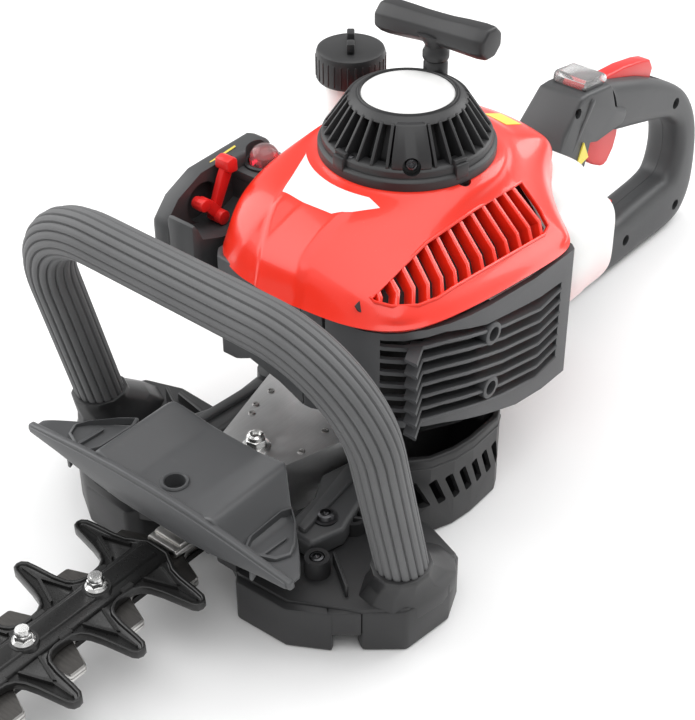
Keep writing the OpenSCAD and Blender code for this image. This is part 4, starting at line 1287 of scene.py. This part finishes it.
def makeComb():
    low = blades["combZ"]
    plate = slab("xy", combOutline(), low, low + 5.4)
    top = [f for f in plate.faces if f.normal.z > 0.9]
    bmesh.ops.inset_region(plate, faces=top, thickness=1.9, depth=0)
    inner = [f for f in plate.faces if f.normal.z > 0.9 and len(f.verts) > 20]
    bmesh.ops.inset_region(plate, faces=inner, thickness=0.7, depth=-1.7)
    roundEdges(plate, 0.45, 2, 55)
    spine = slab("yz", [(-12, 39), (-11, 41.5), (-7.5, 43.6), (7.5, 43.6), (11, 41.5), (12, 39)], 230, 776,
                 0.8)
    ridge = slab("yz", [(-8, 42), (-5.5, 45), (5.5, 45), (8, 42)], 233, 774, 0.8)
    parts = [plate, spine, ridge]
    for i in range(blades["spikes"]):
        x = blades["firstX"] + i * blades["pitch"]
        for side in (-1, 1):
            for lean in (-1, 1):
                rib = prism([(x + lean * 8, side * 13, 40.4), (x + lean * 6.4, side * 13, 40.4),
                             (x - 0.6, side * 31, 40.4), (x - 0.6 + lean * 1.2, side * 33, 40.4)],
                             (0, 0, 2.2))
                parts.append(rib)
            parts.append(prism([(x - 1.6, side * 31, 40), (x + 0.4, side * 31, 40), (x - 0.2, side * 47, 40),
                                (x - 1.2, side * 47, 40)], (0, 0, 1.7)))
            parts.append(box((x + 14, min(side * 9, side * 13), 40),
                             (x + 23, max(side * 9, side * 13), 42.6), 0.7, 1))
    for i in range(blades["bolts"]):
        x = blades["boltX"] + i * blades["boltPitch"]
        parts.append(lathe([(3, 42), (9.5, 42), (8.2, 45.3), (3, 45.3)], x, 0, sides=32))
    piece("combGuard", parts, "frame", combPlastic, ["comb_guard"])


def makeNuts():
    parts = []
    for i in range(blades["bolts"]):
        x = blades["boltX"] + i * blades["boltPitch"]
        parts += [lathe([(3, 45.4), (6.6, 45.4), (6.6, 46.2), (5.4, 47.4), (3, 47.4)], x, 0, sides=32),
                  place(rod((0, 0, 46.6), (0, 0, 51.2), 5.3, sides=6, edge=0.45), i * 23, move=(x, 0, 0)),
                  lathe([(2.9, 50.8), (4.5, 50.8), (4.5, 52.6), (3.9, 53.8), (2.9, 53.8)], x, 0, sides=28)]
    piece("bladeNuts", parts, "frame", brightZinc, ["blade_nuts"])


def makeBlade(name, body, node, low):
    # long back with slanted teeth; the ends and flanks of the teeth are ground
    teeth = [(blades["toothX"] + i * blades["toothPitch"]) for i in range(blades["teeth"])]
    side = [(x + dx, y) for x in teeth for dx, y in ((-3, 11), (1, 13), (7.5, 31), (9, 32), (18, 32),
                                                     (19.5, 31),
                                                     (26, 13), (30, 11))]
    outline = ([(62, 10.5)] + side + [(767, 11), (775, 4), (775, -4), (767, -11)]
               + [(x, -y) for x, y in reversed(side)] + [(62, -10.5)])
    back = slab("xy", outline, low, low + 2.5)
    roundEdges(back, 0.9, 1, 60, lambda e: all(abs(v.co.y) > 12.5 and v.co.z > low + 1 for v in e.verts)
               and abs(e.verts[0].co.z - e.verts[1].co.z) < 0.1)
    yoke = slab("xy", [(45 + dx + 22.8 * cos(radians(a)), 22.8 * sin(radians(a))) for dx, a in
                       [(-7, t) for t in range(90, 271, 15)] + [(7, t) for t in range(-90, 91, 15)]], low,
                       low + 2.5)
    thing = asObject(name, [back])
    carve(thing, [yoke], "UNION")
    window = slab("xy", [(45 + dx + 19.5 * cos(radians(a)), 19.5 * sin(radians(a))) for dx, a in
                         [(-7, t) for t in range(90, 271, 15)] + [(7, t) for t in range(-90, 91, 15)]],
                  low - 1, low + 4)
    slots = [window]
    for i in range(blades["bolts"]):
        x = blades["boltX"] + i * blades["boltPitch"]
        slots.append(slab("xy", [(x + dx + 3.6 * cos(radians(a)), 3.6 * sin(radians(a))) for dx, a in
                                 [(-8, t) for t in range(90, 271, 30)] + [(8, t) for t in range(-90, 91,
                                                            30)]],
                          low - 1, low + 4))
    carve(thing, slots)
    finish(thing, body, bladeMetal, [node])


def makeClamp():
    parts = [box((173, -12, 36.4), (224, 12, 40.6), 1, 2), box((200, -10.5, 40), (219, 10.5, 43.2), 1, 2),
             box((206, -8, 43), (214, 8, 45.4), 0.8, 2), box((219, -11, 36.4), (224, 11, 41.8), 0.8, 2)]
    piece("rootClamp", parts, "frame", clampSteel, ["root_clamp"])


makeComb()
makeNuts()
makeBlade("upperBlade", "upper_blade", "upper_blade", 33.6)
makeBlade("lowerBlade", "lower_blade", "lower_blade", 31)
makeClamp()
print("blades: done")


# rear handle

rear = {"half": 17, "housingHalf": 19.6, "triggerHalf": 5.6, "power": 0.58, "parting": 0.12, "arcSteps": 20}
# pairs of points, outside and inside of the grip, from the top front round to the foot of the housing
loopStations = [(-207, 171.5, -223, 134), (-214, 169, -223, 126), (-240, 160.5, -245, 119.5),
                (-262, 152.5, -262, 115),
                (-300, 134, -290, 107.5), (-323, 118, -303, 101.5), (-339, 94, -315, 90),
                (-347, 66, -319.5, 68),
                (-349, 30, -313, 50), (-340, 8, -300, 47), (-322, 0.4, -285, 46), (-280, 0, -262, 44.5),
                (-236, 0, -236, 43), (-200, 0, -208, 53.5), (-166, 0.4, -180, 54), (-150, 8, -160, 54),
                (-138.8, 30, -139, 54)]


def throughPoints(points, steps):
    # a smooth run of points through the given ones
    out = []
    for i in range(len(points) - 1):
        a, b, c, d = (Vector(points[max(0, min(len(points) - 1, i + k))]) for k in (-1, 0, 1, 2))
        for s in range(steps):
            t = s / steps
            out.append(b + (c - a) * (t / 2) + (a * 2 - b * 5 + c * 4 - d) * (t * t / 2)
                       + (b * 3 - a - c * 3 + d) * (t ** 3 / 2))
    return out + [Vector(points[-1])]


def gripHalf(side):
    # half of a soft-cornered bar bent round the finger gap, flat at the parting plane
    rings = []
    for outerX, outerZ, innerX, innerZ in throughPoints(loopStations, 4):
        ring = []
        for i in range(rear["arcSteps"] + 1):
            a = pi * i / rear["arcSteps"]
            across = abs(cos(a)) ** rear["power"] * (1 if cos(a) > 0 else -1)
            out = max(rear["parting"], rear["half"] * sin(a) ** rear["power"])
            ring.append(((outerX + innerX) / 2 + (outerX - innerX) / 2 * across, side * out,
                         max(0, (outerZ + innerZ) / 2 + (outerZ - innerZ) / 2 * across)))
        rings.append(ring)
    return loft(rings, caps=True)


def gripWells():
    return [slab("xz", [(-190, 80), (-190, 147), (-226, 147), (-226, 140), (-250, 138), (-250, 80)], -6, 6),
            slab("xz", [(-205, 144), (-290, 124), (-300, 140), (-296, 190), (-205, 190)], -6, 6),
            slab("xz", [(-211, 39), (-211, 84), (-232, 84), (-232, 39)], -5, 5)]


shellScrews = ((-302, 117), (-322, 20), (-250, 22), (-188, 26))
pivots = ((-210, 139), (-214, 156), (-219, 47))


def makeGripShells():
    for name, node, side in (("handleShellLeft", "handle_shell_left", 1),
                             ("handleShellRight", "handle_shell_right", -1)):
        thing = asObject(name, [gripHalf(side)])
        tools = gripWells()
        if side > 0:
            for x, z in shellScrews:
                tools.append(rod((x, 11, z), (x + 2, 30, z + 3), 3.9, 5.4, sides=28))
        for tool in tools:
            carve(thing, [tool])
        finish(thing, "rear_handle", darkPlastic, [node])
    screws = []
    for x, z in shellScrews:
        screws += torxScrew((x, 11, z), 3.4, 2.6, (0, 1, 0))
        screws += torxScrew((x, -15.2, z), 3.4, 2.2, (0, -1, 0))
    screws += torxScrew((-163.6, 13.6, 166.6), 3.2, 2.4, (0, 1, 0))
    for x, z in pivots:
        screws.append(rod((x, -4.8, z), (x, 4.8, z), 1.5, sides=24))
    piece("handleScrews", screws, "rear_handle", darkScrew, ["handle_screws"])


def makeSwitchHousing():
    w = rear["housingHalf"]
    profile = [(-138.6, 54.4), (-138.6, 140), (-146, 156), (-167, 176), (-176, 176), (-206, 172), (-212, 152),
               (-226, 146), (-227, 141), (-222, 135), (-190, 134), (-181, 137), (-176, 120), (-190, 92),
               (-207.6, 54.4)]
    body = slab("xz", profile, -w, w)
    # the top draws in on both sides
    for vert in body.verts:
        if vert.co.z > 140:
            vert.co.y *= 1 - 0.12 * min(1, (vert.co.z - 140) / 36)
    roundEdges(body, 2.6, 3, 30)
    thing = asObject("switchHousing", [body])
    tools = [box((-200.5, -8.8, 158), (-178, 8.8, 190), 1),
             slab("xz", [(-190, 100), (-190, 147), (-229, 147), (-229, 100)], -6, 6),
             slab("xz", [(-202, 144.5), (-202, 190), (-230, 190), (-230, 144.5)], -6, 6),
             rod((-164, 13, 166), (-163, 30, 168), 3.4, 4.6, sides=28),
             rod((-152, 0, 72), (-136, 0, 72), 14.2, sides=48)]
    for tool in tools:
        carve(thing, [tool])
    finish(thing, "rear_handle", darkPlastic, ["switch_housing"])
    trim = []
    for side in (-1, 1):
        low, high = (16.6, 20.6) if side > 0 else (-20.6, -16.6)
        trim.append(slab("xz", [(-156, 138), (-159, 136), (-183.5, 168), (-182, 171), (-179, 170.5)],
                         low - side * 1.4,
                         high - side * 1.6, 1))
        trim.append(slab("xz", [(-151, 60), (-154, 60), (-166, 122), (-163, 124)], low, high, 1.2))
    for side in (-1, 1):
        trim.append(slab("xz", [(-199, 170.5), (-178, 173.4), (-178, 177.6), (-200, 175)], side * 11.5 - 1.9,
                         side * 11.5 + 1.9, 0.8))
    piece("housingRibs", trim, "rear_handle", darkPlastic)
    warning = slab("xz", [(-162, 124), (-178, 128), (-171, 142)], 18.9, 20)
    piece("housingLabel", [warning], "rear_handle", yellowSticker)


def makeControls():
    trigger = slab("xz", [(-200, 132), (-202, 143), (-216, 144), (-222, 138), (-240, 124), (-239, 114),
                          (-236, 105),
                          (-229, 96.5), (-225, 95.2), (-221, 96), (-210, 102), (-200, 110), (-194, 120)],
                   -rear["triggerHalf"], rear["triggerHalf"], 1.8, 3)
    piece("throttleTrigger", [trigger], "throttle", redTouch, ["throttle_trigger"])
    lever = slab("xz", [(-209, 152), (-209, 163), (-214, 170), (-240, 168), (-264, 163.5), (-276, 160),
                        (-281, 152),
                        (-278, 143), (-262, 142), (-222, 151)], -rear["triggerHalf"], rear["triggerHalf"],
                        1.8, 3)
    piece("lockoutLever", [lever], "lockout", redTouch, ["lockout_lever"])
    rocker = slab("xz", [(-198, 168), (-198, 175), (-196, 175.6), (-190, 173.4), (-184, 176.8), (-182, 176.2),
                         (-182, 168)], -7.6, 7.6, 0.9)
    bars = [slab("xz", [(-188.5, 173.4), (-186.5, 174.6), (-186.5, 175.6), (-188.5, 174.6)], -5, 5, 0.2)]
    piece("stopSwitch", [rocker] + bars, "stop_switch", redTouch, ["stop_switch"])
    lid = asObject("switchCover", [slab("xz", [(-206, 172.4), (-203.6, 179), (-200, 181.2), (-179, 184),
                                                (-176.4, 182.4), (-176, 176.4)], -13, 13, 1.4, 2)])
    carve(lid, [slab("xz", [(-212, 160), (-201.8, 178.2), (-199.4, 179.6), (-179.8, 182.2), (-178, 180.6),
                            (-177, 160)],
                      -11.6, 11.6)])
    finish(lid, "rear_handle", clearCover, ["switch_cover"])
    lock = slab("xz", [(-213, 44), (-213, 54), (-216, 60), (-220, 64), (-234, 61), (-245, 56),
                       (-243, 51.5), (-230, 51),
                       (-226, 44), (-220, 42)], -4.6, 4.6, 1.2, 2)
    piece("swivelLock", [lock], "swivel_lock", redTouch, ["swivel_lock"])


def makeHandleMount():
    # round flange that the rear handle turns on, with its block under the tank
    def across(bm):
        return place(bm, 90, "Y")
    flange = across(lathe([(0, 131.6), (41, 131.6), (44, 133.4), (44, 138), (0, 138)], sides=72))
    for part in (flange,):
        bmesh.ops.scale(part, verts=part.verts, vec=(-1, 1, 1))
        bmesh.ops.reverse_faces(part, faces=part.faces)
        bmesh.ops.translate(part, verts=part.verts, vec=(0, 0, 72))
    parts = [flange, rod((-152, 0, 72), (-137, 0, 72), 13.9, sides=48),
             box((-134, -19, 18), (-52, 19, 54), 3, 2)]
    for a in range(6):
        turn = a * pi / 3 + pi / 6
        parts.append(rod((-134, 36 * cos(turn), 72 + 36 * sin(turn)),
                         (-130, 36 * cos(turn), 72 + 36 * sin(turn)), 4,
                         sides=24, edge=0.5))
    piece("handleMount", parts, "frame", blackPlastic, ["handle_mount"])


makeGripShells()
makeSwitchHousing()
makeControls()
makeHandleMount()
print("rear handle: done")
